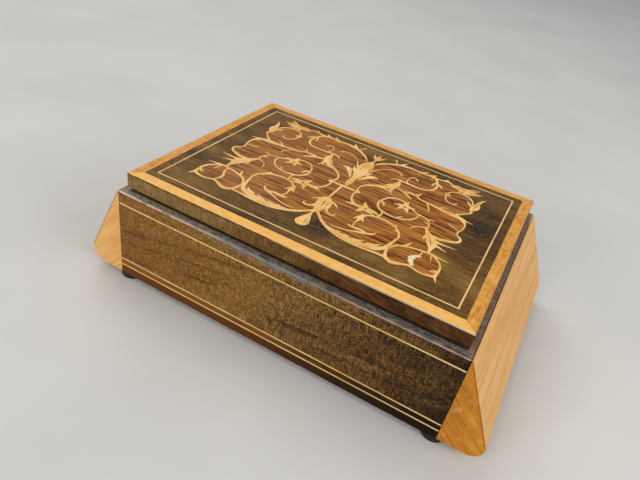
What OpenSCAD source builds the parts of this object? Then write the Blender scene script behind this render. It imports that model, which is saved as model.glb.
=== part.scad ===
// Inlaid wooden puzzle box: a veneered case with a hinged marquetry lid, between two beech end wedges.
// The left wedge slides forward and brings the hidden key out; the right one slides back off the keyhole.
// X runs along the front, Y from front to back, Z up. The origin is under the feet, at the middle.

/* [Case] */
// Length of the case between its end wedges
case_length = 180; // [165:1:230]
// Depth of the case from front to back, veneers included
case_depth = 137.5; // [130:0.5:170]
// Height of the case from its underside to the ledge
case_height = 50.5; // [50:0.5:70]
// Thickness of the case walls, veneer included
wall = 9; // [9:0.25:11]
// Thickness of the bottom board
bottom_thickness = 4; // [3:0.25:5]
// Width of the rebate that the bottom board sits in
bottom_rebate = 5; // [3:0.25:6]
// Length of the tongues on the end walls
tongue_length = 3; // [2:0.25:4]
// Thickness of the tongues on the end walls
tongue_thickness = 4; // [3:0.25:5]
// Thickness of the face veneers on the case and the lid top
veneer = 0.8; // [0.6:0.05:1]
// Thickness of the boards that line the case
liner = 2.5; // [2:0.25:3.5]
// Thickness of the felt on the floor and under the lid
felt = 1.2; // [0.8:0.1:2]

/* [String lines] */
// Width of every inlaid string line
string_width = 0.8; // [0.6:0.05:1.2]
// Height of the lowest string line above the underside of the case
string_low = 5; // [4:0.1:7]
// Height of the middle string line above the underside of the case
string_mid = 8.9; // [8.5:0.1:12]
// Height of the highest string line above the underside of the case
string_high = 43.3; // [30:0.1:46]

/* [Lid] */
// Width of the ledge that shows at each end of the lid
ledge_ends = 2.5; // [1.5:0.25:2.75]
// Width of the ledge that shows in front of the lid and behind it
ledge_sides = 3.75; // [3.5:0.25:5]
// Thickness of the lid board with its top veneer
lid_thickness = 8; // [7:0.25:12]
// Gap between the lid and the ledge
lid_gap = 1.7; // [1.4:0.1:2.2]
// Angle that the lid opens to
lid_opening = 100; // [80:1:105]
// Thickness of the veneer round the edge of the lid
edge_veneer = 0.7; // [0.5:0.05:1]
// Width of the light banding on the lid
banding_width = 5.6; // [4:0.1:8]
// Distance of the lid's string line from the lid's edge
lid_string_inset = 9.8; // [8.6:0.1:12]
// Thickness of the plinth board under the lid
plinth_thickness = 5; // [4:0.25:7]
// Gap between the plinth and the case walls
plinth_clearance = 1; // [0.8:0.1:2]

/* [Marquetry] */
// Depth of the scroll inlay in its ground
inlay_depth = 0.4; // [0.3:0.05:0.5]
// Width of the ground left outside the outermost scrolls
ground_rim = 0.4; // [0.3:0.05:1]
// Sideways place of the ornament's axis on the lid
ornament_x = -2; // [-4:0.5:4]
// Front-to-back place of the ornament's cross bar on the lid
ornament_y = 0.5; // [-3:0.5:3]
// Gap between the string line and the ends of the ornament
ornament_gap_ends = 9.9; // [6:0.1:22]
// Gap between the string line and the front and back of the ornament
ornament_gap_sides = 5.4; // [4:0.1:16]

/* [Wedges] */
// Width of a wedge at its foot, before its corner is rounded
wedge_base = 24.5; // [22:0.5:32]
// Width of the flat along the top of a wedge
wedge_land = 0.7; // [0.5:0.1:2]
// Radius of the rounded lower corner of a wedge
wedge_round = 7.2; // [4:0.2:9]
// Distance that each wedge slides
wedge_travel = 70; // [50:1:70]
// Gap between a wedge and the case, and between a wedge and the feet
wedge_gap = 0.3; // [0.2:0.05:0.5]

/* [Rails] */
// Length of the dovetail rail on each end wall
rail_length = 50; // [40:1:54]
// Distance of the rail's end from the inside of the front or back wall
rail_inset = 0.5; // [0.25:0.25:3]
// Height of the rail's centre line above the underside of the case
rail_height = 20.5; // [19:0.5:22]
// Width of the rail where it leaves the wall
rail_root = 9; // [7:0.25:10]
// Width of the rail at its outer face
rail_tip = 12; // [10.5:0.25:13]
// Distance that the rail stands out from the wall
rail_depth = 6; // [4:0.25:7]
// Depth of the housing that the rail is glued into
rail_seat = 2; // [1:0.25:3]
// Clearance between the rail and its groove
rail_clearance = 0.2; // [0.15:0.05:0.4]
// Diameter of the stop pin in each end wall
pin_diameter = 4; // [3:0.25:5]
// Distance that the stop pin stands out from the wall
pin_reach = 4; // [3:0.25:5]
// Height of the stop pin above the underside of the case
pin_height = 34.5; // [33:0.5:37]
// Clearance of the stop pin in its slot
pin_clearance = 0.3; // [0.2:0.05:0.5]

/* [Hinges] */
// Length of each hinge
hinge_length = 22; // [18:1:30]
// Distance between the middles of the two hinges
hinge_spacing = 104; // [80:1:120]
// Diameter of the hinge knuckle
knuckle_diameter = 3; // [2.8:0.1:3.4]
// Thickness of the hinge leaves
leaf_thickness = 0.9; // [0.85:0.05:1.1]
// Diameter of the hinge pin
hinge_pin = 1.4; // [1.2:0.05:1.6]
// Radial clearance of the pin in the lid's knuckle
hinge_fit = 0.05; // [0.03:0.01:0.08]
// Gap between neighbouring knuckles and round the leaves
hinge_gap = 0.15; // [0.1:0.05:0.25]

/* [Lock] */
// Distance of the lock's middle from the front of the case
lock_inset = 36.75; // [32:0.25:42]
// Width of the lock case
lock_width = 24; // [22:0.5:28]
// Height of the lock case
lock_height = 20; // [18:0.5:22]
// Thickness of the lock case
lock_thickness = 6; // [5.5:0.1:6.5]
// Thickness of the lock's brass plates
lock_plate = 0.8; // [0.6:0.05:1]
// Length of the plate on top of the lock
selvedge_length = 30; // [29:0.5:34]
// Distance that the bolt slides
bolt_travel = 4; // [3:0.1:4.5]
// Thickness of the bolt
bolt_thickness = 1.8; // [1.4:0.05:2.2]
// Clearance of the bolt in the lock and in the eye
bolt_clearance = 0.2; // [0.1:0.05:0.3]
// Radius of the round part of the keyhole
keyhole_radius = 1.5; // [1.35:0.05:1.8]
// Height of the keyhole above the underside of the case
keyhole_height = 37; // [36:0.25:38]
// Width of the brass escutcheon
escutcheon_width = 9; // [7:0.25:12]
// Thickness of the brass escutcheon
escutcheon_thickness = 0.6; // [0.4:0.05:1]
// Length of the plate under the lid that the bolt's eye stands on
link_length = 20; // [16:0.5:24]
// Width of the plate under the lid that the bolt's eye stands on
link_width = 5; // [4.5:0.1:5.2]

/* [Key] */
// Length of the key
key_length = 30; // [26:0.5:32]
// Diameter of the key's bow
key_bow = 8.8; // [7:0.2:9]
// Diameter of the key's shank
key_shank = 2.4; // [2:0.1:2.6]
// Height of the key's bit below the shank
key_bit = 3.2; // [2.4:0.1:3.4]
// Space between the key and its recess
key_clearance = 0.2; // [0.1:0.05:0.4]

/* [Feet] */
// Height of the feet
foot_height = 3.6; // [3:0.1:6]
// Diameter of the feet
foot_diameter = 13; // [10:0.5:14]
// Distance of the middle of a foot from the end of the case
foot_end_inset = 2; // [1.5:0.25:5]
// Rounding of the lower edge of the feet
foot_round = 0.8; // [0.4:0.1:1.2]

/* [Screws] */
// Diameter of the small brass screws' heads
screw_head = 2.2; // [2:0.1:2.4]
// Diameter of the small brass screws' shanks
screw_shank = 1.2; // [1:0.05:1.4]
// Length of the small brass screws
screw_length = 5; // [4:0.25:5.5]
// Clearance round screws, pins and glued housings
fit = 0.05; // [0.02:0.01:0.1]

/* [Hidden] */
$fn = 48;

// Cutters run past the faces that they cut by this much.
over = 1;

// Levels
z_base = foot_height;
z_ledge = z_base + case_height;
z_wall = z_ledge - veneer;
z_floor = z_base + bottom_thickness;
z_under = z_ledge + lid_gap;
z_top = z_under + lid_thickness;
z_veneer = z_top - veneer;
z_plinth = z_under - plinth_thickness;

// Half sizes of the case, outside and inside
case_x = case_length / 2;
case_y = case_depth / 2;
inner_x = case_x - wall;
inner_y = case_y - wall;
wall_y = case_y - veneer;

// Half sizes of the lid
lid_x = case_x - ledge_ends;
lid_y = case_y - ledge_sides;

// What the lid's plinth leaves above the liners
plinth_rest = 0.2;
z_liner = z_plinth - plinth_rest;

// Feet
foot_x = case_x - foot_end_inset;
foot_y = case_y - foot_diameter / 2;
nail_head_radius = 1.6;
nail_head_height = 0.8;
nail_head_sink = 1;
nail_radius = 0.7;
nail_length = 10;

// Hinges
hinge_y = lid_y + knuckle_diameter / 2 + hinge_gap;
hinge_z = (z_ledge + z_under) / 2;
leaf_setback = 1.15;
leaf_front = inner_y + leaf_setback;
hinge_screw_spread = hinge_length / 2 - 4;
hinge_screw_y = (leaf_front + lid_y) / 2;
middle_knuckle = hinge_length / 3;

// Lock, measured from its middle
lock_y = lock_inset - case_y;
lock_inner = inner_x;
lock_outer = inner_x + lock_thickness;
tab_thickness = 1.6;
tab_width = lock_thickness - 2 * lock_plate - 2 * bolt_clearance;
tab_play = 0.6;
tab_x = (lock_inner + lock_outer) / 2;
tab_y = lock_y + 4;
tab_foot = 1.2;
bolt_nose = 2;
bolt_z = z_wall - 5.6;
bolt_height = 6;
bolt_wait = 0.5;
bolt_tip = tab_y - tab_thickness / 2 - bolt_wait;
bolt_shoulder = bolt_tip - bolt_travel - bolt_clearance;
bolt_web = 0.8;
eye_height = bolt_nose + 2 * bolt_clearance + 0.6;
eye_width = bolt_thickness + 2 * bolt_clearance;
stud_radius = 1;
stud_shoulder = 1.8;
stud_slot = stud_radius + bolt_clearance / 2;
stud_y = bolt_shoulder - bolt_web - stud_slot;
bolt_tail = stud_y - bolt_travel - stud_slot - bolt_web;
talon_width = 2;
talon_depth = 1.2;
keyhole_y = lock_y - 4;
keyhole_slot = 1.3;
keyhole_drop = 4;
selvedge_screw_y = selvedge_length / 2 - 1.7;
link_screw_y = link_length / 2 - 2.5;

// Wedges. A right wedge is drawn, and the left one is its mirror image.
wedge_x = case_x + wedge_gap;
wedge_z = z_base + wedge_gap;
wedge_slope = (wedge_base - wedge_land) / case_height;
toe_x = case_x + wedge_base - wedge_slope * wedge_gap;
toe_angle = 90 - atan(wedge_slope);
toe_tangent = wedge_round / tan(toe_angle / 2);
rail_z = z_base + rail_height;
pin_z = z_base + pin_height;
rail_far = inner_y - rail_inset;
rail_near = rail_far - rail_length;
groove_start = min(rail_near - wedge_travel, -rail_far) - pin_clearance;
pin_y = wedge_travel / 2;
rail_screw_inset = 10;
rail_screw_radius = 1;
rail_screw_head = 1.9;
rail_screw_head_height = 1.2;
rail_screw_bite = 4;

// Key, which lies in a recess in the left wedge's inner face
key_thickness = 1.6;
key_tip = 0.8;
key_floor = 2.4;
key_end_inset = 7;
key_recess_depth = 4.2;
key_z = wedge_z + key_floor + key_clearance + key_bow / 2;
key_x = -(wedge_x + key_recess_depth - key_clearance - key_shank / 2);
key_front = key_end_inset - case_y;
key_bit_length = 4;
key_bit_thickness = 1.2;
key_recess_front = key_front - key_clearance;
key_recess_length = key_length + 2 * key_clearance;
key_recess_height = key_bow + 2 * key_clearance;

// ---- Curves of the marquetry, drawn in millimetres from the ornament's cross bar ----

// Each scroll of the right half is a list of points [x, y, width] that a smooth curve runs through.
scrolls = [
    // lower C-scroll, out of the calyx under the cross and curling up round its flower
    [[1, -27, 1.4], [8, -34, 2.2], [22, -42, 2.6], [36, -38, 2], [41, -28, 1.6], [37, -18, 1.4],
     [29, -14, 1.2], [21, -17, 1.2], [19, -24, 1], [20, -31, 1]],
    // ring on the middle stem
    [[7.5, -2, 1.6], [10, -9, 1.8], [17, -13, 2.2], [26, -11, 1.6], [38, -9, 1.2], [42, -3, 1],
     [40, 4, 1], [32, 7, 1.2], [25, 6, 1.2], [22, 0, 1.2], [23.5, -5, 1]],
    // upper C-scroll, from the cross bar out and back into the bulb
    [[6.5, 0, 1.4], [8, 7, 1.4], [14, 13, 1.8], [21, 18, 2.4], [20, 26, 1.8], [26, 29, 1.2], [36, 29, 1.4],
     [40, 36, 1.4], [38, 45, 1.4], [30, 48, 1.8], [18, 46, 1.8], [9, 40, 1.4], [3, 34, 1]],
    // middle edge scroll
    [[21, 17, 1.6], [34, 16, 1.4], [48, 15, 1.4], [58, 14, 1.4], [64, 9, 1.2], [64, 1, 1.2],
     [66, -5, 1.2], [63, -10, 1.4], [54, -12, 1.4], [49, -5, 1]],
    // upper end loop
    [[38, 45, 1.2], [48, 47, 1.8], [57, 46, 2], [60, 40, 1.6], [64, 32, 2], [63, 24, 1.6], [57, 17, 1.2]],
    // lower end loop
    [[40, -30, 1.2], [46, -27, 1.4], [56, -26, 1.4], [64, -29, 1.4], [65, -38, 1.4], [58, -43, 1.4],
     [47, -44, 1.8], [40, -36, 1.2]],
    // stem between the middle and lower ends
    [[56, -12, 2], [56, -20, 2.2], [56, -26, 1.4]],
];

// Outline of the rosewood ground's right half, from its top to its foot.
ground_edge = [
    [0, 30], [6, 38], [16, 47], [30, 49], [48, 49], [60, 45], [65, 34], [64, 22], [58, 17],
    [66, 13], [66, 2], [67, -6], [58, -12], [57, -20], [60, -26], [66, -28], [66, -42],
    [50, -45], [40, -38], [24, -43], [10, -36], [2, -28], [0, -27]
];

// The ornament takes the largest size that keeps its gaps to the string line both ways.
ornament_scale = min(
    (lid_x - lid_string_inset - string_width - ornament_gap_ends) / max([for (p = ground_edge) p[0]]),
    (lid_y - lid_string_inset - string_width - ornament_gap_sides) / max([for (p = ground_edge) abs(p[1])])
);

// Point at fraction t between b and c on the smooth (Catmull-Rom) curve through a, b, c and d.
function smooth(a, b, c, d, t) =
    ((2 * b) + (c - a) * t + (2 * a - 5 * b + 4 * c - d) * t * t + (3 * b - a - 3 * c + d) * t * t * t) / 2;

// The curve through points p, with the given number of steps between neighbours.
function curve(p, steps) = [
    for (i = [0 : len(p) - 2], s = [0 : (i == len(p) - 2 ? steps : steps - 1)])
        smooth(p[max(i - 1, 0)], p[i], p[i + 1], p[min(i + 2, len(p) - 1)], s / steps)
];

// Unit vector square to the step from a to b.
function across(a, b) = [a[1] - b[1], b[0] - a[0]] / norm([b[0] - a[0], b[1] - a[1]]);

// The edge of a ribbon of varying width along points [x, y, width]; side is 1 or -1.
function ribbon_edge(p, side) = [
    for (i = [0 : len(p) - 1])
        [p[i][0], p[i][1]] + side * p[i][2] / 2 * across(p[max(i - 1, 0)], p[min(i + 1, len(p) - 1)])
];

// A stroke of varying width along points [x, y, width].
module stroke(p) {
    back = ribbon_edge(p, -1);
    polygon(concat(ribbon_edge(p, 1), [for (i = [len(back) - 1 : -1 : 0]) back[i]]));
}

// The bulb, the cross and the calyx on the ornament's axis.
module axis_figures() {
    square([15, 1.6], center = true);
    translate([-0.6, -19]) square([1.2, 19]);
    polygon([
        [0, 3], [-1.4, 6], [-1.2, 12], [-4.4, 20], [-3.6, 28], [-1.4, 34], [0, 36],
        [1.4, 34], [3.6, 28], [4.4, 20], [1.2, 12], [1.4, 6]
    ]);
    polygon([[-5, -19], [5, -19], [3, -24], [1.4, -29], [0, -31], [-1.4, -29], [-3, -24]]);
    polygon([[-2, -35], [2, -35], [3, -43], [-3, -43]]);
}

// All of the scrollwork as one flat outline.
module scroll_outline() {
    translate([ornament_x, ornament_y]) scale(ornament_scale) {
        axis_figures();
        for (side = [0, 1], s = scrolls)
            mirror([side, 0]) stroke(curve(s, 2));
    }
}

// The outline of the whole marquetry panel, grown by a margin.
module panel_outline(margin) {
    offset(delta = margin) {
        scroll_outline();
        translate([ornament_x, ornament_y]) scale(ornament_scale)
            for (side = [0, 1])
                mirror([side, 0]) polygon(ground_edge);
    }
}

// ---- Shared shapes ----

// A box between two corners.
module block(a, b) {
    translate(a) cube(b - a);
}

// A rod along X from x1 to x2.
module rod_x(x1, x2, y, z, r) {
    translate([x1, y, z]) rotate([0, 90, 0]) cylinder(r = r, h = x2 - x1);
}

// One side of a mitred frame in the plane of the front side: outer half sizes, width and height range.
module mitred_side(half_length, half_depth, width, z1, z2) {
    translate([0, 0, z1]) linear_extrude(height = z2 - z1)
        polygon([
            [-half_length, -half_depth], [half_length, -half_depth],
            [half_length - width, width - half_depth], [width - half_length, width - half_depth]
        ]);
}

// The bottom board's housing in the walls, or the board itself with a negative clearance.
module bottom_housing(clearance, below) {
    x = inner_x + bottom_rebate + clearance;
    y = inner_y + bottom_rebate + clearance;
    block([-x, -y, z_base - below], [x, y, z_floor]);
}

// A countersunk brass screw that points up, with its head's face at the origin.
module small_screw(clearance) {
    cone = (screw_head - screw_shank) / 2;
    cylinder(r1 = screw_head / 2 + clearance, r2 = screw_shank / 2 + clearance, h = cone);
    cylinder(r = screw_shank / 2 + clearance, h = screw_length + clearance);
}

// ---- Case ----

module wall_fasteners_cut() {
    for (x = [-foot_x, foot_x], y = [-foot_y, foot_y])
        translate([x, y, z_base - over]) cylinder(r = nail_radius + fit, h = nail_length + over);
}

module bottom_board() {
    color("BurlyWood") difference() {
        bottom_housing(-fit, 0);
        wall_fasteners_cut();
    }
}

// A long wall with the grooves for the end walls' tongues; side is -1 at the front and 1 at the back.
module long_wall(side) {
    difference() {
        block(
            [-case_x, side > 0 ? inner_y : -wall_y, z_base],
            [case_x, side > 0 ? wall_y : -inner_y, z_wall]
        );
        bottom_housing(0, over);
        for (end = [-1, 1])
            tongue(end, side, fit);
        wall_fasteners_cut();
    }
}

// The tongue at one end of an end wall, or its groove when it has a clearance.
module tongue(end, side, clearance) {
    middle_x = end * (inner_x + wall / 2);
    half = tongue_thickness / 2 + clearance;
    reach = tongue_length + clearance;
    block(
        [middle_x - half, side > 0 ? inner_y - over : -inner_y - reach, z_base - (clearance > 0 ? over : 0)],
        [middle_x + half, side > 0 ? inner_y + reach : -inner_y + over, z_wall + (clearance > 0 ? over : 0)]
    );
}

module front_wall() {
    color("SaddleBrown") long_wall(-1);
}

module back_wall() {
    color("SaddleBrown") difference() {
        long_wall(1);
        hinge_mortise(-1);
        hinge_mortise(1);
        hinge_case_screw_set(fit);
    }
}

// An end wall with its tongues, rail housing, rail screws and stop pin; end is -1 at the left.
module end_wall(end) {
    difference() {
        union() {
            block(
                [end > 0 ? inner_x : -case_x, -inner_y, z_base],
                [end > 0 ? case_x : -inner_x, inner_y, z_wall]
            );
            for (side = [-1, 1])
                tongue(end, side, 0);
        }
        bottom_housing(0, over);
        wall_fasteners_cut();
        rail_housing(end);
        rail_screw_set(end, fit);
        stop_pin(end, fit);
    }
}

module left_wall() {
    color("SaddleBrown") end_wall(-1);
}

module right_wall() {
    color("SaddleBrown") difference() {
        end_wall(1);
        lock_mortise();
        translate([0, keyhole_y, z_base + keyhole_height]) keyhole(lock_outer - over, case_x + over, 0);
        escutcheon_shape(fit, over);
        selvedge_screws(fit);
    }
}

module ledge_front() {
    color("DimGray") mitred_side(case_x, case_y, wall, z_wall, z_ledge);
}

module ledge_back() {
    color("DimGray") difference() {
        rotate([0, 0, 180]) mitred_side(case_x, case_y, wall, z_wall, z_ledge);
        hinge_mortise(-1);
        hinge_mortise(1);
    }
}

module ledge_left() {
    color("DimGray") rotate([0, 0, -90]) mitred_side(case_y, case_x, wall, z_wall, z_ledge);
}

module ledge_right() {
    color("DimGray") difference() {
        rotate([0, 0, 90]) mitred_side(case_y, case_x, wall, z_wall, z_ledge);
        block(
            [lock_inner - over, lock_y - selvedge_length / 2 - fit, z_wall - over],
            [lock_outer + fit, lock_y + selvedge_length / 2 + fit, z_ledge + over]
        );
    }
}

// A strip of face veneer on a long side, between two heights above the underside of the case.
module face_strip(side, low, high) {
    block(
        [-case_x, side > 0 ? wall_y : -case_y, z_base + low],
        [case_x, side > 0 ? case_y : -wall_y, z_base + high]
    );
}

// The dark panel between the middle and high strings, and the strip above it.
module face_panels(side) {
    face_strip(side, string_mid + string_width, string_high);
    face_strip(side, string_high + string_width, case_height - veneer);
}

// The strip under the lowest string, and the one between the two low strings.
module face_low_strips(side) {
    face_strip(side, 0, string_low);
    face_strip(side, string_low + string_width, string_mid);
}

module face_strings(side) {
    for (low = [string_low, string_mid, string_high])
        face_strip(side, low, low + string_width);
}

module front_veneer() {
    color("Sienna") face_panels(-1);
}

module front_lower_strips() {
    color("Maroon") face_low_strips(-1);
}

module front_strings() {
    color("Tan") face_strings(-1);
}

module back_veneer() {
    color("Sienna") difference() {
        face_panels(1);
        hinge_mortise(-1);
        hinge_mortise(1);
    }
}

module back_lower_strips() {
    color("Maroon") face_low_strips(1);
}

module back_strings() {
    color("Tan") face_strings(1);
}

// The lining boards stand on the bottom board and carry the lid's plinth.
module long_liner(side) {
    block(
        [-inner_x, side > 0 ? inner_y - liner : -inner_y, z_floor],
        [inner_x, side > 0 ? inner_y : -inner_y + liner, z_liner]
    );
}

module end_liner(end) {
    block(
        [end > 0 ? inner_x - liner : -inner_x, -inner_y + liner, z_floor],
        [end > 0 ? inner_x : -inner_x + liner, inner_y - liner, z_liner]
    );
}

module liner_front() {
    color("BurlyWood") long_liner(-1);
}

module liner_back() {
    color("BurlyWood") long_liner(1);
}

module liner_left() {
    color("BurlyWood") end_liner(-1);
}

module liner_right() {
    color("BurlyWood") end_liner(1);
}

module floor_felt() {
    x = inner_x - liner - fit;
    y = inner_y - liner - fit;
    color("DarkRed") block([-x, -y, z_floor], [x, y, z_floor + felt]);
}

// ---- Lid ----

module lid_board() {
    x = lid_x - edge_veneer;
    y = lid_y - edge_veneer;
    color("Peru") difference() {
        block([-x, -y, z_under], [x, y, z_veneer]);
        for (side = [-1, 1])
            lid_leaf_mortise(side);
        hinge_lid_screw_set(fit);
        link_recess();
        link_screw_set(fit);
    }
}

module lid_plinth() {
    x = inner_x - plinth_clearance;
    y = inner_y - plinth_clearance;
    color("Peru") block([-x, -y, z_plinth], [x, y, z_under]);
}

module lid_felt() {
    x = inner_x - liner - plinth_clearance;
    y = inner_y - liner - plinth_clearance;
    color("DarkRed") block([-x, -y, z_plinth - felt], [x, y, z_plinth]);
}

module lid_edge_front() {
    color("Sienna") mitred_side(lid_x, lid_y, edge_veneer, z_under, z_veneer);
}

module lid_edge_back() {
    color("Sienna") difference() {
        rotate([0, 0, 180]) mitred_side(lid_x, lid_y, edge_veneer, z_under, z_veneer);
        for (side = [-1, 1])
            lid_leaf_mortise(side);
    }
}

module lid_edge_left() {
    color("Sienna") rotate([0, 0, -90]) mitred_side(lid_y, lid_x, edge_veneer, z_under, z_veneer);
}

module lid_edge_right() {
    color("Sienna") rotate([0, 0, 90]) mitred_side(lid_y, lid_x, edge_veneer, z_under, z_veneer);
}

module banding_front() {
    color("Goldenrod") mitred_side(lid_x, lid_y, banding_width, z_veneer, z_top);
}

module banding_back() {
    color("Goldenrod") rotate([0, 0, 180]) mitred_side(lid_x, lid_y, banding_width, z_veneer, z_top);
}

module banding_left() {
    color("Goldenrod") rotate([0, 0, -90]) mitred_side(lid_y, lid_x, banding_width, z_veneer, z_top);
}

module banding_right() {
    color("Goldenrod") rotate([0, 0, 90]) mitred_side(lid_y, lid_x, banding_width, z_veneer, z_top);
}

// A sheet of top veneer whose edges lie a distance inside the lid's edges.
module top_sheet(inset, over_height) {
    block(
        [inset - lid_x, inset - lid_y, z_veneer - over_height],
        [lid_x - inset, lid_y - inset, z_top + over_height]
    );
}

module lid_border() {
    color("DarkSlateGray") difference() {
        top_sheet(banding_width, 0);
        top_sheet(lid_string_inset, over);
    }
}

module lid_string() {
    color("Tan") difference() {
        top_sheet(lid_string_inset, 0);
        top_sheet(lid_string_inset + string_width, over);
    }
}

module lid_field() {
    color("DarkSlateGray") difference() {
        top_sheet(lid_string_inset + string_width, 0);
        translate([0, 0, z_veneer - over]) linear_extrude(height = veneer + 2 * over)
            panel_outline(ground_rim);
    }
}

module marquetry_ground() {
    color("SaddleBrown") difference() {
        translate([0, 0, z_veneer]) linear_extrude(height = veneer)
            panel_outline(ground_rim);
        translate([0, 0, z_top - inlay_depth]) linear_extrude(height = inlay_depth + over)
            offset(delta = fit) scroll_outline();
    }
}

module scrollwork() {
    color("Khaki") translate([0, 0, z_top - inlay_depth]) linear_extrude(height = inlay_depth)
        offset(delta = 0) scroll_outline();
}

// ---- Hinges ----

// The mortise for a case leaf and its knuckles, cut through to the back; side is -1 at the left.
module hinge_mortise(side) {
    x = side * hinge_spacing / 2;
    half = hinge_length / 2 + hinge_gap;
    block([x - half, leaf_front - fit, z_ledge - leaf_thickness], [x + half, case_y + over, z_ledge + over]);
}

module lid_leaf_mortise(side) {
    x = side * hinge_spacing / 2;
    half = hinge_length / 2 + fit;
    block([x - half, leaf_front - fit, z_under - over], [x + half, lid_y + over, z_under + leaf_thickness]);
}

// A rod on the hinge axis, from a to b along X, measured from the middle of the hinge.
module hinge_rod(side, a, b, r) {
    rod_x(side * hinge_spacing / 2 + a, side * hinge_spacing / 2 + b, hinge_y, hinge_z, r);
}

// The case leaf carries the two outer knuckles.
module case_leaf(side) {
    x = side * hinge_spacing / 2;
    end = hinge_length / 2;
    start = middle_knuckle / 2;
    difference() {
        union() {
            block([x - end, leaf_front, z_ledge - leaf_thickness], [x + end, hinge_y, z_ledge]);
            hinge_rod(side, -end, -start - hinge_gap, knuckle_diameter / 2);
            hinge_rod(side, start + hinge_gap, end, knuckle_diameter / 2);
        }
        hinge_rod(side, -start - hinge_gap, start + hinge_gap, knuckle_diameter / 2 + hinge_gap);
        hinge_rod(side, -end - over, end + over, hinge_pin / 2);
        hinge_case_screw_set(fit);
    }
}

// The lid leaf carries the middle knuckle.
module lid_leaf(side) {
    x = side * hinge_spacing / 2;
    end = hinge_length / 2;
    start = middle_knuckle / 2;
    difference() {
        union() {
            block([x - end, leaf_front, z_under], [x + end, hinge_y, z_under + leaf_thickness]);
            hinge_rod(side, -start, start, knuckle_diameter / 2);
        }
        hinge_rod(side, -end - over, -start, knuckle_diameter / 2 + hinge_gap);
        hinge_rod(side, start, end + over, knuckle_diameter / 2 + hinge_gap);
        hinge_rod(side, -end - over, end + over, hinge_pin / 2 + hinge_fit);
        hinge_lid_screw_set(fit);
    }
}

// Screws through the case leaves point down, those through the lid leaves point up.
module hinge_case_screw_set(clearance) {
    for (side = [-1, 1], s = [-1, 1])
        translate([side * hinge_spacing / 2 + s * hinge_screw_spread, hinge_screw_y, z_ledge])
            mirror([0, 0, 1]) small_screw(clearance);
}

module hinge_lid_screw_set(clearance) {
    for (side = [-1, 1], s = [-1, 1])
        translate([side * hinge_spacing / 2 + s * hinge_screw_spread, hinge_screw_y, z_under])
            small_screw(clearance);
}

module hinge_pin_rod(side) {
    hinge_rod(side, -hinge_length / 2, hinge_length / 2, hinge_pin / 2);
}

module hinge_left_case_leaf() {
    color("Gold") case_leaf(-1);
}

module hinge_left_lid_leaf() {
    color("Gold") lid_leaf(-1);
}

module hinge_left_pin() {
    color("Gold") hinge_pin_rod(-1);
}

module hinge_right_case_leaf() {
    color("Gold") case_leaf(1);
}

module hinge_right_lid_leaf() {
    color("Gold") lid_leaf(1);
}

module hinge_right_pin() {
    color("Gold") hinge_pin_rod(1);
}

module hinge_case_screws() {
    color("Gold") hinge_case_screw_set(0);
}

module hinge_lid_screws() {
    color("Gold") hinge_lid_screw_set(0);
}

// ---- Wedges and rails ----

// Profile of a wedge in the XZ plane: sloped outer face and a rounded toe.
module wedge_profile() {
    tip = toe_x - toe_tangent;
    slope_x = toe_x - toe_tangent * cos(toe_angle);
    slope_z = wedge_z + toe_tangent * sin(toe_angle);
    union() {
        polygon([
            [wedge_x, wedge_z], [tip, wedge_z], [tip, wedge_z + wedge_round], [slope_x, slope_z],
            [case_x + wedge_land, z_ledge], [wedge_x, z_ledge]
        ]);
        translate([tip, wedge_z + wedge_round]) circle(r = wedge_round);
    }
}

// Dovetail section of the rail, grown by a clearance, standing out from the case's end.
module rail_section(from_x, clearance) {
    flare = (rail_tip - rail_root) / 2 / rail_depth;
    root = rail_root / 2 + clearance * sqrt(1 + flare * flare);
    polygon([
        [from_x, rail_z - root],
        [case_x, rail_z - root],
        [case_x + rail_depth + clearance, rail_z - root - flare * (rail_depth + clearance)],
        [case_x + rail_depth + clearance, rail_z + root + flare * (rail_depth + clearance)],
        [case_x, rail_z + root],
        [from_x, rail_z + root]
    ]);
}

// Carries a section in the XZ plane along Y from y1 to y2.
module along_y(y1, y2) {
    translate([0, y2, 0]) rotate([90, 0, 0]) linear_extrude(height = y2 - y1) children();
}

// The right wedge with its rail groove, open at the back, and its stop slot.
module wedge_body() {
    difference() {
        along_y(-case_y, case_y) wedge_profile();
        along_y(groove_start, case_y + over) rail_section(case_x - over, rail_clearance);
        stop_slot();
    }
}

module stop_slot() {
    r = pin_diameter / 2 + pin_clearance;
    depth = case_x + pin_reach + pin_clearance;
    for (y = [-pin_y, pin_y])
        rod_x(case_x - over, depth, y, pin_z, r);
    block([case_x - over, -pin_y, pin_z - r], [depth, pin_y, pin_z + r]);
}

module left_wedge() {
    color("SandyBrown") difference() {
        mirror([1, 0, 0]) wedge_body();
        block(
            [-wedge_x - key_recess_depth, key_recess_front, key_z - key_recess_height / 2],
            [-case_x + over, key_recess_front + key_recess_length, key_z + key_recess_height / 2]
        );
    }
}

module right_wedge() {
    color("SandyBrown") wedge_body();
}

// The rail's housing in an end wall: the left rail is in the front half, the right one in the back half.
module rail_housing(end) {
    block(
        [end > 0 ? case_x - rail_seat : -case_x - over, end > 0 ? rail_near - fit : -rail_far - fit,
         rail_z - rail_root / 2 - fit],
        [end > 0 ? case_x + over : -case_x + rail_seat, end > 0 ? rail_far + fit : -rail_near + fit,
         rail_z + rail_root / 2 + fit]
    );
}

module right_rail() {
    color("Sienna") difference() {
        along_y(rail_near, rail_far) rail_section(case_x - rail_seat, 0);
        rail_screw_set(1, fit);
    }
}

module left_rail() {
    color("Sienna") difference() {
        rotate([0, 0, 180]) along_y(rail_near, rail_far) rail_section(case_x - rail_seat, 0);
        rail_screw_set(-1, fit);
    }
}

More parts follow.
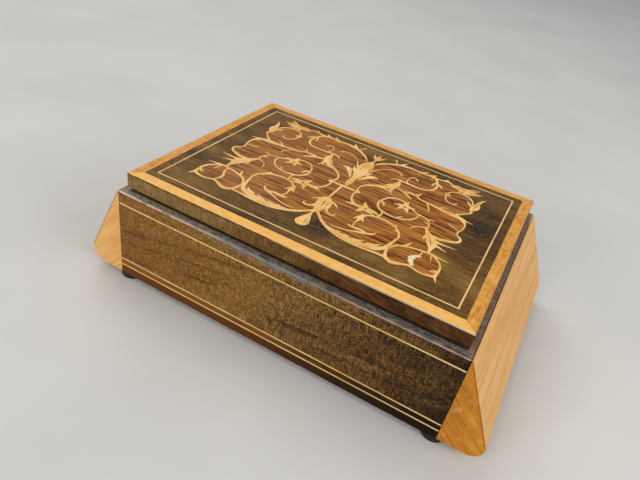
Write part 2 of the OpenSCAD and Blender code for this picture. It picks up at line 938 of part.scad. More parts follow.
// Two screws that hold a rail from inside the case.
module rail_screw_set(end, clearance) {
    rotate([0, 0, end > 0 ? 0 : 180])
        for (y = [rail_near + rail_screw_inset, rail_far - rail_screw_inset]) {
            rod_x(inner_x, inner_x + rail_screw_head_height, y, rail_z, rail_screw_head + clearance);
            rod_x(inner_x, case_x + rail_screw_bite + clearance, y, rail_z, rail_screw_radius + clearance);
        }
}

module rail_screws() {
    color("Gold") {
        rail_screw_set(-1, 0);
        rail_screw_set(1, 0);
    }
}

module stop_pin(end, clearance) {
    rotate([0, 0, end > 0 ? 0 : 180])
        rod_x(inner_x, case_x + pin_reach, pin_y, pin_z, pin_diameter / 2 + clearance);
}

module stop_pins() {
    color("Gold") {
        stop_pin(-1, 0);
        stop_pin(1, 0);
    }
}

// ---- Lock and key ----

// A keyhole along X: a round hole with a slot below it, grown by a clearance.
module keyhole(x1, x2, clearance) {
    rod_x(x1, x2, 0, 0, keyhole_radius + clearance);
    block(
        [x1, -keyhole_slot / 2 - clearance, -keyhole_drop - clearance],
        [x2, keyhole_slot / 2 + clearance, 0]
    );
}

module lock_mortise() {
    block(
        [lock_inner - over, lock_y - lock_width / 2 - fit, z_wall - lock_height - fit],
        [lock_outer + fit, lock_y + lock_width / 2 + fit, z_wall + over]
    );
}

module selvedge_screws(clearance) {
    for (s = [-1, 1])
        translate([tab_x, lock_y + s * selvedge_screw_y, z_ledge]) mirror([0, 0, 1]) small_screw(clearance);
}

// The lock's back plate, rim, top plate and the stud that guides the bolt.
module lock_case() {
    color("DarkGoldenrod") difference() {
        union() {
            difference() {
                block(
                    [lock_inner + lock_plate, lock_y - lock_width / 2, z_wall - lock_height],
                    [lock_outer, lock_y + lock_width / 2, z_wall]
                );
                block(
                    [lock_inner, lock_y - lock_width / 2 + lock_plate, z_wall - lock_height + lock_plate],
                    [lock_outer - lock_plate, lock_y + lock_width / 2 - lock_plate, z_wall + over]
                );
            }
            block(
                [lock_inner, lock_y - selvedge_length / 2, z_wall],
                [lock_outer, lock_y + selvedge_length / 2, z_ledge]
            );
            rod_x(lock_inner + lock_plate, lock_outer - lock_plate / 2, stud_y, bolt_z, stud_radius);
            rod_x(
                tab_x + bolt_thickness / 2 + bolt_clearance / 2, lock_outer - lock_plate / 2,
                stud_y, bolt_z, stud_shoulder
            );
        }
        block(
            [tab_x - tab_width / 2 - bolt_clearance, tab_y - tab_thickness / 2 - tab_play, z_wall - over],
            [tab_x + tab_width / 2 + bolt_clearance, tab_y + tab_thickness / 2 + tab_play, z_ledge + over]
        );
        translate([0, keyhole_y, z_base + keyhole_height])
            keyhole(lock_outer - lock_plate - over, lock_outer + over, 0);
        selvedge_screws(fit);
    }
}

module lock_cap() {
    color("DarkGoldenrod") block(
        [lock_inner, lock_y - lock_width / 2, z_wall - lock_height],
        [lock_inner + lock_plate, lock_y + lock_width / 2, z_wall]
    );
}

// The bolt slides along Y on the stud; its nose enters the eye of the link plate's tab.
module lock_bolt() {
    x1 = tab_x - bolt_thickness / 2;
    x2 = tab_x + bolt_thickness / 2;
    low = bolt_z - bolt_height / 2;
    color("Silver") difference() {
        union() {
            block([x1, bolt_tail, low], [x2, bolt_shoulder, bolt_z + bolt_height / 2]);
            block([x1, bolt_tail, bolt_z - bolt_nose / 2], [x2, bolt_tip, bolt_z + bolt_nose / 2]);
        }
        rod_x(x1 - over, x2 + over, stud_y, bolt_z, stud_slot);
        rod_x(x1 - over, x2 + over, stud_y - bolt_travel, bolt_z, stud_slot);
        block([x1 - over, stud_y - bolt_travel, bolt_z - stud_slot], [x2 + over, stud_y, bolt_z + stud_slot]);
        block(
            [x1 - over, keyhole_y - talon_width / 2, low - over],
            [x2 + over, keyhole_y + talon_width / 2, low + talon_depth]
        );
    }
}

module lock_screws() {
    color("Gold") selvedge_screws(0);
}

// The recess for the link plate in the lid's underside.
module link_recess() {
    block(
        [tab_x - link_width / 2 - fit, tab_y - link_length / 2 - fit, z_under - over],
        [tab_x + link_width / 2 + fit, tab_y + link_length / 2 + fit, z_under + lock_plate]
    );
}

module link_screw_set(clearance) {
    for (s = [-1, 1])
        translate([tab_x, tab_y + s * link_screw_y, z_under]) small_screw(clearance);
}

// The plate under the lid, with the tab that drops into the lock and the eye that the bolt enters.
module link_plate() {
    color("Gold") difference() {
        union() {
            block(
                [tab_x - link_width / 2, tab_y - link_length / 2, z_under],
                [tab_x + link_width / 2, tab_y + link_length / 2, z_under + lock_plate]
            );
            block(
                [tab_x - tab_width / 2, tab_y - tab_thickness / 2, bolt_z - eye_height / 2 - tab_foot],
                [tab_x + tab_width / 2, tab_y + tab_thickness / 2, z_under]
            );
        }
        block(
            [tab_x - eye_width / 2, tab_y - tab_thickness, bolt_z - eye_height / 2],
            [tab_x + eye_width / 2, tab_y + tab_thickness, bolt_z + eye_height / 2]
        );
        link_screw_set(fit);
    }
}

module link_screws() {
    color("Gold") link_screw_set(0);
}

// The escutcheon's outline: a plate with round ends, let into the end wall.
module escutcheon_shape(clearance, proud) {
    r = escutcheon_width / 2 + clearance;
    x1 = case_x - escutcheon_thickness;
    x2 = case_x + proud;
    low = z_base + keyhole_height - keyhole_drop;
    high = z_base + keyhole_height;
    rod_x(x1, x2, keyhole_y, low, r);
    rod_x(x1, x2, keyhole_y, high, r);
    block([x1, keyhole_y - r, low], [x2, keyhole_y + r, high]);
}

module escutcheon() {
    color("Gold") difference() {
        escutcheon_shape(0, 0);
        translate([0, keyhole_y, z_base + keyhole_height]) keyhole(case_x - wall, case_x + over, 0);
    }
}

module key() {
    shank_end = key_front + key_length;
    color("Gold") union() {
        difference() {
            union() {
                rod_x(
                    key_x - key_thickness / 2, key_x + key_thickness / 2,
                    key_front + key_bow / 2, key_z, key_bow / 2
                );
                translate([key_x, shank_end, key_z]) rotate([90, 0, 0])
                    cylinder(r = key_shank / 2, h = key_length - key_bow + key_tip);
            }
            rod_x(key_x - over, key_x + over, key_front + key_bow / 2, key_z, key_bow / 4);
        }
        block(
            [
                key_x - key_bit_thickness / 2, shank_end - key_bit_length - key_tip,
                key_z - key_shank / 2 - key_bit
            ],
            [key_x + key_bit_thickness / 2, shank_end - key_tip, key_z]
        );
    }
}

// ---- Feet ----

module foot_nail(clearance) {
    translate([0, 0, nail_head_sink])
        cylinder(r = nail_head_radius + clearance, h = nail_head_height);
    translate([0, 0, nail_head_sink])
        cylinder(r = nail_radius + clearance, h = nail_length);
}

module foot() {
    r = foot_diameter / 2;
    difference() {
        rotate_extrude() union() {
            polygon([
                [0, 0], [r - foot_round, 0], [r - foot_round, foot_round],
                [r, foot_round], [r, z_base], [0, z_base]
            ]);
            translate([r - foot_round, foot_round]) circle(r = foot_round);
        }
        foot_nail(fit);
        translate([0, 0, -over]) cylinder(r = nail_head_radius + fit, h = nail_head_sink + over);
    }
}

module feet() {
    color("Black")
        for (x = [-foot_x, foot_x], y = [-foot_y, foot_y])
            translate([x, y, 0]) foot();
}

module foot_nails() {
    color("Silver")
        for (x = [-foot_x, foot_x], y = [-foot_y, foot_y])
            translate([x, y, 0]) foot_nail(0);
}

bottom_board();
front_wall();
back_wall();
left_wall();
right_wall();
ledge_front();
ledge_back();
ledge_left();
ledge_right();
front_veneer();
front_lower_strips();
front_strings();
back_veneer();
back_lower_strips();
back_strings();
liner_front();
liner_back();
liner_left();
liner_right();
floor_felt();
lid_board();
lid_plinth();
lid_felt();
lid_edge_front();
lid_edge_back();
lid_edge_left();
lid_edge_right();
banding_front();
banding_back();
banding_left();
banding_right();
lid_border();
lid_string();
lid_field();
marquetry_ground();
scrollwork();
hinge_left_case_leaf();
hinge_left_lid_leaf();
hinge_left_pin();
hinge_right_case_leaf();
hinge_right_lid_leaf();
hinge_right_pin();
hinge_case_screws();
hinge_lid_screws();
left_wedge();
right_wedge();
left_rail();
right_rail();
rail_screws();
stop_pins();
lock_case();
lock_cap();
lock_bolt();
lock_screws();
link_plate();
link_screws();
escutcheon();
key();
feet();
foot_nails();
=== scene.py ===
import bmesh
import bpy
import numpy as np
from mathutils import Matrix, Vector
from mathutils.geometry import delaunay_2d_cdt


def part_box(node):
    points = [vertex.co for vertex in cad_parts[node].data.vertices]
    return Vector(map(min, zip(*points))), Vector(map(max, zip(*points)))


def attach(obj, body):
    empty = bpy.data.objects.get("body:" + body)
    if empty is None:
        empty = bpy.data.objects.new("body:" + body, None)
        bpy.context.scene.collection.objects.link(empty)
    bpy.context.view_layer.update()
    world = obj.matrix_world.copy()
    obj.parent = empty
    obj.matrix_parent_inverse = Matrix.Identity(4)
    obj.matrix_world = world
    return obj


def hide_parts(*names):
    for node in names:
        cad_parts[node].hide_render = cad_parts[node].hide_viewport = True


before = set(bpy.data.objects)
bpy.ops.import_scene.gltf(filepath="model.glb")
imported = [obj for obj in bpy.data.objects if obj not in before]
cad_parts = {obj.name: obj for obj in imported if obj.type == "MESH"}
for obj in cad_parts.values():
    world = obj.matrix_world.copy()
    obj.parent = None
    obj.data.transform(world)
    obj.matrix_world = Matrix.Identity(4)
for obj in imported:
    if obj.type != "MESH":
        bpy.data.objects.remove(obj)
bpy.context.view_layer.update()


# ---------------------------------------------------------------------------
# Where the box stands: a plain pale floor, broad soft lights over its left
# shoulder, in front of it and to its right, and a pale room that fills the shade.
# ---------------------------------------------------------------------------
mm = 0.001


def colour(code):
    """Linear RGBA of an sRGB hex code: each channel over 255, with the sRGB curve undone."""
    share = np.array([int(code[i : i + 2], 16) for i in (1, 3, 5)]) / 255
    linear = np.where(share <= 0.04045, share / 12.92, ((share + 0.055) / 1.055) ** 2.4)
    return (*linear.tolist(), 1)


def add(tree, kind, feeds=(), stops=(), **settings):
    """Adds one node and gives its first output in use.

    Settings are its properties, and stops are the marks of its ramp. Feeds are its inputs, in order or by
    name: numbers, hex colours or other nodes' outputs.
    """
    made = tree.nodes.new("ShaderNode" + kind)
    for name, value in settings.items():
        setattr(made, name, value)
    in_use = [socket for socket in made.inputs if socket.enabled]
    for key, value in feeds.items() if isinstance(feeds, dict) else enumerate(feeds):
        socket = made.inputs[key] if isinstance(key, str) else in_use[key]
        if isinstance(value, bpy.types.NodeSocket):
            tree.links.new(value, socket)
        else:
            socket.default_value = colour(value) if isinstance(value, str) else value
    if stops:
        ramp = made.color_ramp.elements
        while len(ramp) < len(stops):
            ramp.new(0.5)
        for mark, (spot, code) in zip(ramp, stops):
            mark.position = spot
            mark.color = colour(code)
    return next((socket for socket in made.outputs if socket.enabled), None)


def new_finish(name):
    """A new material, its empty node tree, and the coordinates of the object that wears it."""
    made = bpy.data.materials.new(name)
    made.use_nodes = True
    tree = made.node_tree
    tree.nodes.clear()
    return made, tree, add(tree, "TexCoord").node.outputs["Object"]


def surface(tree, feeds, height=None, strength=0, depth=0):
    """Closes a finish: the shader with its feeds and, where a height is given, a relief this deep in mm."""
    if height is not None:
        feeds["Normal"] = add(tree, "Bump", {"Height": height, "Strength": strength, "Distance": depth * mm})
    add(tree, "OutputMaterial", {"Surface": add(tree, "BsdfPrincipled", feeds)})


def put_mesh(name, points, faces, finish):
    """A mesh object in its material, out of points in millimetres (n x 3) and faces of point numbers."""
    mesh = bpy.data.meshes.new(name)
    mesh.from_pydata(np.asarray(points) * mm, [], faces)
    mesh.validate()
    mesh.materials.append(finish)
    made = bpy.data.objects.new(name, mesh)
    bpy.context.scene.collection.objects.link(made)
    return made


floor_paper, tree, place = new_finish("matt_pale_paper")
mottle = add(tree, "TexNoise", {"Vector": place, "Scale": 9, "Detail": 3})
tone = add(tree, "ValToRGB", [mottle], [(0.3, "#D2D2D0"), (0.7, "#DADAD8")])
surface(tree, {"Base Color": tone, "Roughness": 0.9})

floor_half = 6000
floor = put_mesh(
    "studio_floor",
    [[x * floor_half, y * floor_half, 0] for x, y in ((-1, -1), (1, -1), (1, 1), (-1, 1))],
    [[0, 1, 2, 3]],
    floor_paper,
)

room = bpy.data.worlds.new("pale_room")
bpy.context.scene.world = room
room.use_nodes = True
room.node_tree.nodes["Background"].inputs["Color"].default_value = colour("#F1F3F6")
room.node_tree.nodes["Background"].inputs["Strength"].default_value = 0.45

lit_middle = Vector((0, 0, 0.03))  # the lamps look at the middle of the box
# Each lamp: name, place and width in metres, power in watts, colour.
lamps = (
    ("window_light", (-0.7, 0.5, 1.2), 0.9, 5.5, "#FFFAF2"),
    ("front_light", (-0.3, -1.1, 0.7), 0.8, 6, "#FFFBF5"),
    ("right_light", (1, -0.2, 0.7), 0.8, 5.5, "#FFFBF5"),
)
for name, spot, width, power, code in lamps:
    lamp = bpy.data.lights.new(name, "AREA")
    lamp.shape = "SQUARE"
    lamp.size = width
    lamp.energy = power
    lamp.color = colour(code)[:3]
    stand = bpy.data.objects.new(name, lamp)
    stand.location = spot
    stand.rotation_euler = (lit_middle - Vector(spot)).to_track_quat("-Z", "Y").to_euler()
    bpy.context.scene.collection.objects.link(stand)

lens = bpy.data.cameras.new("camera")
lens.lens = 30.97
lens.sensor_width = 36
lens.clip_start = 0.01
viewer = bpy.data.objects.new("camera", lens)
bpy.context.scene.collection.objects.link(viewer)
# its columns are the viewer's right, up and back, and where the viewer stands, in metres
viewer.matrix_world = Matrix(
    (
        (0.86922, -0.39175, 0.30166, 0.08491),
        (0.46662, 0.44819, -0.76250, -0.23745),
        (0.16351, 0.80353, 0.57237, 0.20373),
        (0, 0, 0, 1),
    )
)
bpy.context.scene.camera = viewer
bpy.context.scene.view_settings.view_transform = "Standard"


# ---------------------------------------------------------------------------
# Case: four beech walls tongued together at the corners, with a bottom board
# in a rebate. Inside and under the veneers the wood is bare, stained thin and
# dark where it shows, and sawn and sanded rather than polished.
# ---------------------------------------------------------------------------
def cells(x, y, z):
    """A size or place in millimetres along X, Y and Z, as a Mapping node takes it."""
    return Vector((x, y, z)) * mm


def grown(tree, place, size, detail, rough=0.5, turn=(0, 0, 0), start=(0, 0, 0), distortion=0):
    """The irregular figure of wood, wool, dust or tarnish: noise in cells of this size in millimetres.

    The cells may be turned, in radians, and start from another place than the middle of the box.
    """
    cell = add(tree, "Mapping", [place, cells(*start), turn, cells(*size)], vector_type="TEXTURE")
    feeds = {"Vector": cell, "Scale": 1, "Detail": detail, "Roughness": rough, "Distortion": distortion}
    return add(tree, "TexNoise", feeds)


def coat(finish, *nodes):
    """Gives CAD nodes that keep their shape their finish."""
    for node in nodes:
        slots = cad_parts[node].data.materials
        slots.clear()
        slots.append(finish)


# Stained beech, matt: faint rings and short dark pores along the box.
stained_beech, tree, place = new_finish("stained_beech_matt")
# early and late wood 1.2 mm apart, as in slow-grown beech
rings = grown(tree, place, (30, 1.2, 1.2), 4)
pores = grown(tree, place, (1.6, 0.3, 0.3), 2)
tone = add(tree, "ValToRGB", [rings], [(0.3, "#7A4E2A"), (0.55, "#94653A"), (0.75, "#A87848")])
holes = add(tree, "ValToRGB", [pores], [(0.3, "#4A2E18"), (0.42, "#FFFFFF")])
mixed = add(tree, "Mix", [0.6, tone, holes], data_type="RGBA", blend_type="MULTIPLY")
surface(tree, {"Base Color": mixed, "Roughness": 0.62}, pores, 0.3, 0.1)

coat(stained_beech, "bottom_board", "front_wall", "back_wall", "left_wall", "right_wall")


# ---------------------------------------------------------------------------
# Faces of the case, front and back: a sheet of stained figured veneer glued to
# the wall, crossed by string lines let in flush, one under the ledge and a pair
# near the foot. The strips between and below the pair are redder plum wood.
# ---------------------------------------------------------------------------
def ripple(along, seed, waves=9, longest=60.0, shortest=4.0):
    """Uneven wear along an edge, from 0 to 1.

    It is 0.5 + 0.5 tanh(s). Here s is a sum of sines of random phase over the root of their number, and their
    lengths go down from the longest to the shortest by one ratio.
    """
    draw = np.random.default_rng(seed)
    lengths = np.geomspace(longest, shortest, waves)[:, None]
    phases = draw.uniform(0, 2 * np.pi, (waves, 1))
    swing = np.sin(2 * np.pi * np.asarray(along)[None, :] / lengths + phases).sum(0)
    return 0.5 + 0.5 * np.tanh(swing / np.sqrt(waves))


def bridge(rings, count):
    """Quads between consecutive closed rings of count points each, which are numbered ring after ring."""
    i = np.arange(rings - 1)[:, None] * count
    j = np.arange(count)[None, :]
    k = (j + 1) % count
    return np.stack([i + j, i + k, i + count + k, i + count + j], -1).reshape(-1, 4)


def eased_board(low, high, ease, seed=0, wear=0.6, step=3.0, turns=4):
    """A board between two corners whose twelve edges are eased by sandpaper and wear.

    Round the board runs a rectangle whose corners are quarter circles. At each ring of the eased edge it is
    drawn in by ease * (1 - cos a), at a height of ease * (1 - sin a) from the face, for a from 0 to 90
    degrees. The ease itself shrinks unevenly along the edge by the wear. Flat faces close the board above and
    below.
    """
    drawn_in = 0.98  # the last ring stops a fiftieth short, so that none of its points meet at a corner
    low, high = np.array(low, float), np.array(high, float)
    bend = np.linspace(0, np.pi / 2, turns + 1)
    middle, half = (low + high) / 2, (high - low) / 2
    sides, normals = [], []
    corners = [(1, -1, -90), (1, 1, 0), (-1, 1, 90), (-1, -1, 180)]
    for n, (sx, sy, start) in enumerate(corners):
        centre = np.array([sx * (half[0] - ease), sy * (half[1] - ease)])
        swing = np.radians(start) + bend
        normals.append(np.stack([np.cos(swing), np.sin(swing)], 1))
        sides.append(centre + ease * normals[-1])
        nx, ny, _ = corners[(n + 1) % 4]
        ahead = np.array([nx * (half[0] - ease), ny * (half[1] - ease)])
        count = max(2, int(np.linalg.norm(ahead - centre) / step))
        share = np.linspace(0, 1, count + 1)[1:-1, None]
        out = ease * normals[-1][-1]
        straight = (centre + out) * (1 - share) + (ahead + out) * share
        sides.append(straight)
        normals.append(np.repeat(normals[-1][-1:], len(straight), 0))
    outline, normal = np.vstack(sides), np.vstack(normals)
    walked = np.cumsum(np.linalg.norm(np.diff(outline, axis=0, prepend=outline[-1:]), axis=1))
    amount = ease * (1 - wear * ripple(walked, seed))[:, None]
    rings = []
    for end in (-1, 1):
        for a in bend[::-1] if end < 0 else bend:
            flat = outline - normal * amount * (1 - np.cos(a)) * drawn_in
            z = end * (half[2] - amount[:, 0] * (1 - np.sin(a)))
            rings.append(np.column_stack([flat, z]))
    count = len(outline)
    number = np.arange(len(rings) * count).reshape(-1, count)
    caps = [number[0, ::-1].tolist(), number[-1].tolist()]
    return np.vstack(rings) + middle, bridge(len(rings), count).tolist() + caps


def join(parts):
    """Several (points, faces) pairs as one."""
    points, faces, start = [], [], 0
    for p, f in parts:
        points.append(p)
        faces += [[start + i for i in face] for face in f]
        start += len(p)
    return np.vstack(points), faces


def span(node):
    """A CAD node's lowest and highest corner at rest, in millimetres."""
    low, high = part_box(node)
    return np.array(low) / mm, np.array(high) / mm


def lay(name, shape, finish, body, slot, *nodes):
    """Puts a new piece where these CAD nodes are: it rides on their body and shows in their stead."""
    made = put_mesh(name, *shape, finish)
    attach(made, body)
    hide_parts(*nodes)


def tint(tree, tone, over, value, marks, shares=(0, 1), blend="MIX"):
    """One tone over another: as the value goes from mark to mark, the share of the upper one goes as told."""
    share = add(tree, "MapRange", [value, *marks, *shares])
    return add(tree, "Mix", [share, tone, over], data_type="RGBA", blend_type=blend)


def left_to_right_share(tree, x, end, figure, swing):
    """How far the surface is from the left end's tone to the right end's, as a share, and the same made
    uneven.

    The share grows evenly along x between the two ends, and the figure adds or takes up to the swing.
    """
    run = add(tree, "MapRange", [x, -end, end])
    uneven = add(tree, "MapRange", [figure, 0.3, 0.7, -swing, swing])
    return run, add(tree, "Math", [run, uneven], operation="ADD", use_clamp=True)


def near(tree, x, spot, inner, outer):
    """1 within the inner distance of a spot along x, in millimetres, falling evenly to 0 at the outer one."""
    off = add(tree, "Math", [x, -spot * mm], operation="ADD")
    away = add(tree, "Math", [off], operation="ABSOLUTE")
    return add(tree, "MapRange", [away, inner * mm, outer * mm, 1, 0])


# Stained figured veneer under thin lacquer. The sheet runs from golden brown at its left end to nearly black
# at its right one, partly from stain that has gone in unevenly and partly from painted shade towards the
# right. Its grain rises seven degrees to the right, and pale threads along it and upright across it give it a
# woven look; they are drawn 0.34 mm wide, as finer ones would not be seen.
case_end = 90 * mm  # from the middle of the box to an end of its case
figured_veneer, tree, place = new_finish("stained_figured_veneer_satin")
x, _, z = add(tree, "SeparateXYZ", [place]).node.outputs
grain_turn = (0, np.radians(-7), 0)
cloud = grown(tree, place, (45, 30, 15), 3, 0.6, turn=grain_turn)
run, tone_level = left_to_right_share(tree, x, case_end, cloud, 0.16)
ground_tones = [(0, "#744A18"), (0.35, "#6E4A1A"), (0.55, "#503310"), (0.78, "#221304"), (1, "#0C0602")]
thread_tones = [(0, "#B4803F"), (0.3, "#C29450"), (0.6, "#B68A4C"), (0.85, "#946C36"), (1, "#4E3315")]
ground = add(tree, "ValToRGB", [tone_level], ground_tones)
pale = add(tree, "ValToRGB", [tone_level], thread_tones)
long_thread = grown(tree, place, (3, 3, 0.34), 2, 0.6, turn=grain_turn)
upright_thread = grown(tree, place, (0.34, 3, 6), 2, 0.6)
# the upright threads fade towards the left end
faded = add(tree, "MapRange", [run, 0.1, 0.7, -0.04, 0])
upright_thread = add(tree, "Math", [upright_thread, faded], operation="ADD")
woven = add(tree, "Math", [long_thread, upright_thread], operation="MAXIMUM")
flecked = tint(tree, ground, pale, woven, (0.49, 0.66))
# dark growth lines that follow the grain, about 5 mm apart
lines = grown(tree, place, (70, 30, 4.5), 5, 0.7, turn=grain_turn, distortion=0.3)
streak = add(tree, "ValToRGB", [lines], [(0.34, "#7A6850"), (0.43, "#F0EAE2"), (0.6, "#FFFFFF")])
shown = add(tree, "Mix", [0.8, flecked, streak], data_type="RGBA", blend_type="MULTIPLY")
# the lacquer is rubbed off in patches near the middle of the top edge, where fingers lift the lid
lifted = add(tree, "MapRange", [z, 50.3 * mm, 52.8 * mm])
central = near(tree, x, -6, 18, 34)
rub_noise = grown(tree, place, (5, 5, 1.5), 4, 0.7)
rub_patch = add(tree, "MapRange", [rub_noise, 0.44, 0.56, 0, 0.9])
rubbed = add(tree, "Math", [lifted, central], operation="MULTIPLY")
rubbed = add(tree, "Math", [rubbed, rub_patch], operation="MULTIPLY")
shown = add(tree, "Mix", [rubbed, shown, "#7E7A70"], data_type="RGBA")
surface(tree, {"Base Color": shown, "Roughness": 0.46, "Specular IOR Level": 0.12}, woven, 0.25, 0.12)

# Plum wood: redder, with its grain along the strip and a darker right end, partly stain and partly painted
# shade.
# The foot strip is the darker one.
plum, tree, place = new_finish("plum_strips_satin")
x, _, z = add(tree, "SeparateXYZ", [place]).node.outputs
# fibres of 9 x 0.5 mm
strand = grown(tree, place, (9, 2, 0.5), 4, 0.7)
_, tone_level = left_to_right_share(tree, x, case_end, strand, 0.18)
plum_tones = [(0, "#8C5822"), (0.35, "#845422"), (0.6, "#5E3C14"), (0.8, "#342008"), (1, "#1A0E05")]
tone = add(tree, "ValToRGB", [tone_level], plum_tones)
tone = tint(tree, tone, "#AE9276", z, (8.6 * mm, 9.2 * mm), (0.75, 0), blend="MULTIPLY")
surface(tree, {"Base Color": tone, "Roughness": 0.45, "Specular IOR Level": 0.12}, strand, 0.25, 0.1)

# String: pale maple lines sawn from one sheet, so their tone changes only slowly, every 12 mm or so.
string, tree, place = new_finish("maple_string_satin")
change = grown(tree, place, (12, 12, 12), 4)
tone = add(tree, "ValToRGB", [change], [(0.3, "#DEAE68"), (0.5, "#F0C47C"), (0.7, "#F8D494")])
surface(tree, {"Base Color": tone, "Roughness": 0.45, "Specular IOR Level": 0.25})

string_width = 0.8
string_heights = (9, 12.9, 47.3)  # middles of the three lines above the table
sheet_ease = 0.08  # a veneer sheet's sawn edge, broken by one stroke of sandpaper
for face in ("front", "back"):
    low, high = span(face + "_veneer")
    foot = span(face + "_lower_strips")[0][2]
    cuts = [z + side * string_width / 2 for z in string_heights for side in (-1, 1)]
    edges = [foot, *cuts, high[2]]
    levels = list(zip(edges[:-1], edges[1:]))
    sheets = [
        eased_board((*low[:2], a), (*high[:2], b), sheet_ease, seed=n, turns=2)
        for n, (a, b) in enumerate(levels)
    ]
    # the sheets count from the foot: plum, string, plum, string, veneer, string, veneer
    for name, picked, finish, slot, node in (
        ("_figured_veneer", (4, 6), figured_veneer, "stained_veneer", "_veneer"),
        ("_plum_strips", (0, 2), plum, "plum_strips", "_lower_strips"),
        ("_string_lines", (1, 3, 5), string, "string_line", "_strings"),
    ):
        lay(face + name, join([sheets[n] for n in picked]), finish, "case", slot, face + node)


# ---------------------------------------------------------------------------
# Ledge: four mitred strips of grey-brown veneer on top of the walls, which show
# all round the lid. Dust and handling have dulled them, and their outer arris
# is rubbed through to pale wood. Part of their grey is a painted reflection,
# and under the lid's rim they carry a painted shadow.
# ---------------------------------------------------------------------------
def eased_copy(name, nodes, finish, body, ease, steps=2):
    """The CAD solids of these nodes as one piece with eased edges.

    The triangles are merged into whole flat faces first; every edge sharper than 30 degrees is then cut back
    by the ease and rounded in the given steps.
    """
    level = np.radians(0.5)  # faces that lie as near as this in one plane are one flat face
    gathered = bmesh.new()
    for node in nodes:
        gathered.from_mesh(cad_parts[node].data)
    bmesh.ops.remove_doubles(gathered, verts=gathered.verts, dist=0.002 * mm)
    bmesh.ops.dissolve_limit(gathered, angle_limit=level, verts=gathered.verts, edges=gathered.edges)
    mesh = bpy.data.meshes.new(name)
    gathered.to_mesh(mesh)
    gathered.free()
    mesh.materials.clear()
    mesh.materials.append(finish)
    mesh.polygons.foreach_set("material_index", np.zeros(len(mesh.polygons), np.int32))
    made = bpy.data.objects.new(name, mesh)
    bpy.context.scene.collection.objects.link(made)
    bevel = made.modifiers.new("eased_edges", "BEVEL")
    bevel.width = ease * mm
    bevel.segments = steps
    bevel.limit_method = "ANGLE"
    bevel.angle_limit = np.radians(30)
    bevel.use_clamp_overlap = True
    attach(made, body)
    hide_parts(*nodes)


# Ledge veneer: grey in open grain over brown stain, in patches, partly dust and partly a painted reflection,
# and pale wood on the rubbed arris.
dulled_ledge, tree, place = new_finish("dulled_ledge_veneer")
x, y, _ = add(tree, "SeparateXYZ", [place]).node.outputs
wide = add(tree, "Math", [x], operation="ABSOLUTE")
deep = add(tree, "Math", [y], operation="ABSOLUTE")
# the grain runs along each strip: fibres of 5 x 0.8 mm, turned a quarter on the end strips
ends_over = add(tree, "Math", [wide, 21 * mm], operation="SUBTRACT")
on_end = add(tree, "Math", [ends_over, deep], operation="GREATER_THAN")
long_grain = add(tree, "Mapping", {"Vector": place, "Scale": cells(5, 0.8, 2)}, vector_type="TEXTURE")
end_grain = add(tree, "Mapping", {"Vector": place, "Scale": cells(0.8, 5, 2)}, vector_type="TEXTURE")
grain = add(tree, "Mix", [on_end, long_grain, end_grain], data_type="VECTOR")
fibres = add(tree, "TexNoise", {"Vector": grain, "Scale": 1, "Detail": 4, "Roughness": 0.7})
dust_and_reflection = grown(tree, place, (13, 5, 9), 4, 0.65)
both = add(tree, "Mix", [0.5, fibres, dust_and_reflection])
dust_and_reflection_tones = [(0.36, "#403932"), (0.45, "#6C635A"), (0.54, "#867D72"), (0.64, "#A69D92")]
tone = add(tree, "ValToRGB", [both], dust_and_reflection_tones)
# the grey of dust and painted reflection lies on the front strip most; the end strips have kept their brown
aside = add(tree, "MapRange", [y, -65.5 * mm, -63.5 * mm, 0, 0.85])
browned = add(tree, "Mix", [0.65, tone, "#A67C5A"], data_type="RGBA")
# from the middle to the right the grey in front is darker
tone = tint(tree, tone, "#E0E0DC", x, (-45 * mm, 10 * mm), blend="MULTIPLY")
tone = add(tree, "Mix", [aside, tone, browned], data_type="RGBA")
tone = tint(tree, tone, "#9C8674", x, (-60 * mm, -25 * mm), (0.45, 0))
# grit and open pores along the strip, 2.4 x 0.7 mm
grit = grown(tree, place, (2.4, 0.7, 0.8), 3, 0.7)
tone = tint(tree, tone, "#9C958A", grit, (0.52, 0.64), (0, 0.8))
tone = tint(tree, tone, "#2A2520", grit, (0.38, 0.48), (0.75, 0))
# under the lid's rim the ledge is painted nearly black: a painted shadow of the lid
lid_shadow_front = add(tree, "MapRange", [deep, 64.2 * mm, 65 * mm, 1, 0])
lid_shadow_end = add(tree, "MapRange", [wide, 86.7 * mm, 87.5 * mm, 1, 0])
lid_shadow = add(tree, "Math", [lid_shadow_front, lid_shadow_end], operation="MULTIPLY")
lid_shadow = add(tree, "Math", [lid_shadow, 0.8], operation="MULTIPLY")
tone = add(tree, "Mix", [lid_shadow, tone, "#16110C"], data_type="RGBA")
# rubbed arris: within 1 mm of the case's front or back at the left end and 0.5 mm at the right, in lengths of
# 6 mm or so
along = add(tree, "MapRange", [x, -30 * mm, 50 * mm, 67.8 * mm, 68.3 * mm])
past = add(tree, "Math", [deep, along], operation="SUBTRACT")
# where fingers lift the lid, over 60 mm, the rubbing runs in from the arris in ragged patches up to 1.6 mm
# deep
lifting = near(tree, x, -4, 16, 36)
ragged = grown(tree, place, (5, 3, 3), 4, 0.7)
depth = add(tree, "MapRange", [ragged, 0.4, 0.62, 0, 1.6 * mm])
depth = add(tree, "Math", [depth, lifting], operation="MULTIPLY")
past = add(tree, "Math", [past, depth], operation="ADD")
rim = add(tree, "MapRange", [past, 0, 0.2 * mm])
gaps = grown(tree, place, (6, 6, 6), 4)
kept = add(tree, "MapRange", [gaps, 0.36, 0.5, 0.3, 1])
rubbed = add(tree, "Math", [rim, kept], operation="MULTIPLY")
run = add(tree, "MapRange", [x, -case_end, case_end])
arris_tones = [(0, "#DCC0A6"), (0.26, "#C4AC96"), (0.36, "#8E8E8A")]
arris_tones += [(0.6, "#848480"), (0.7, "#A48A7A"), (1, "#B4968A")]
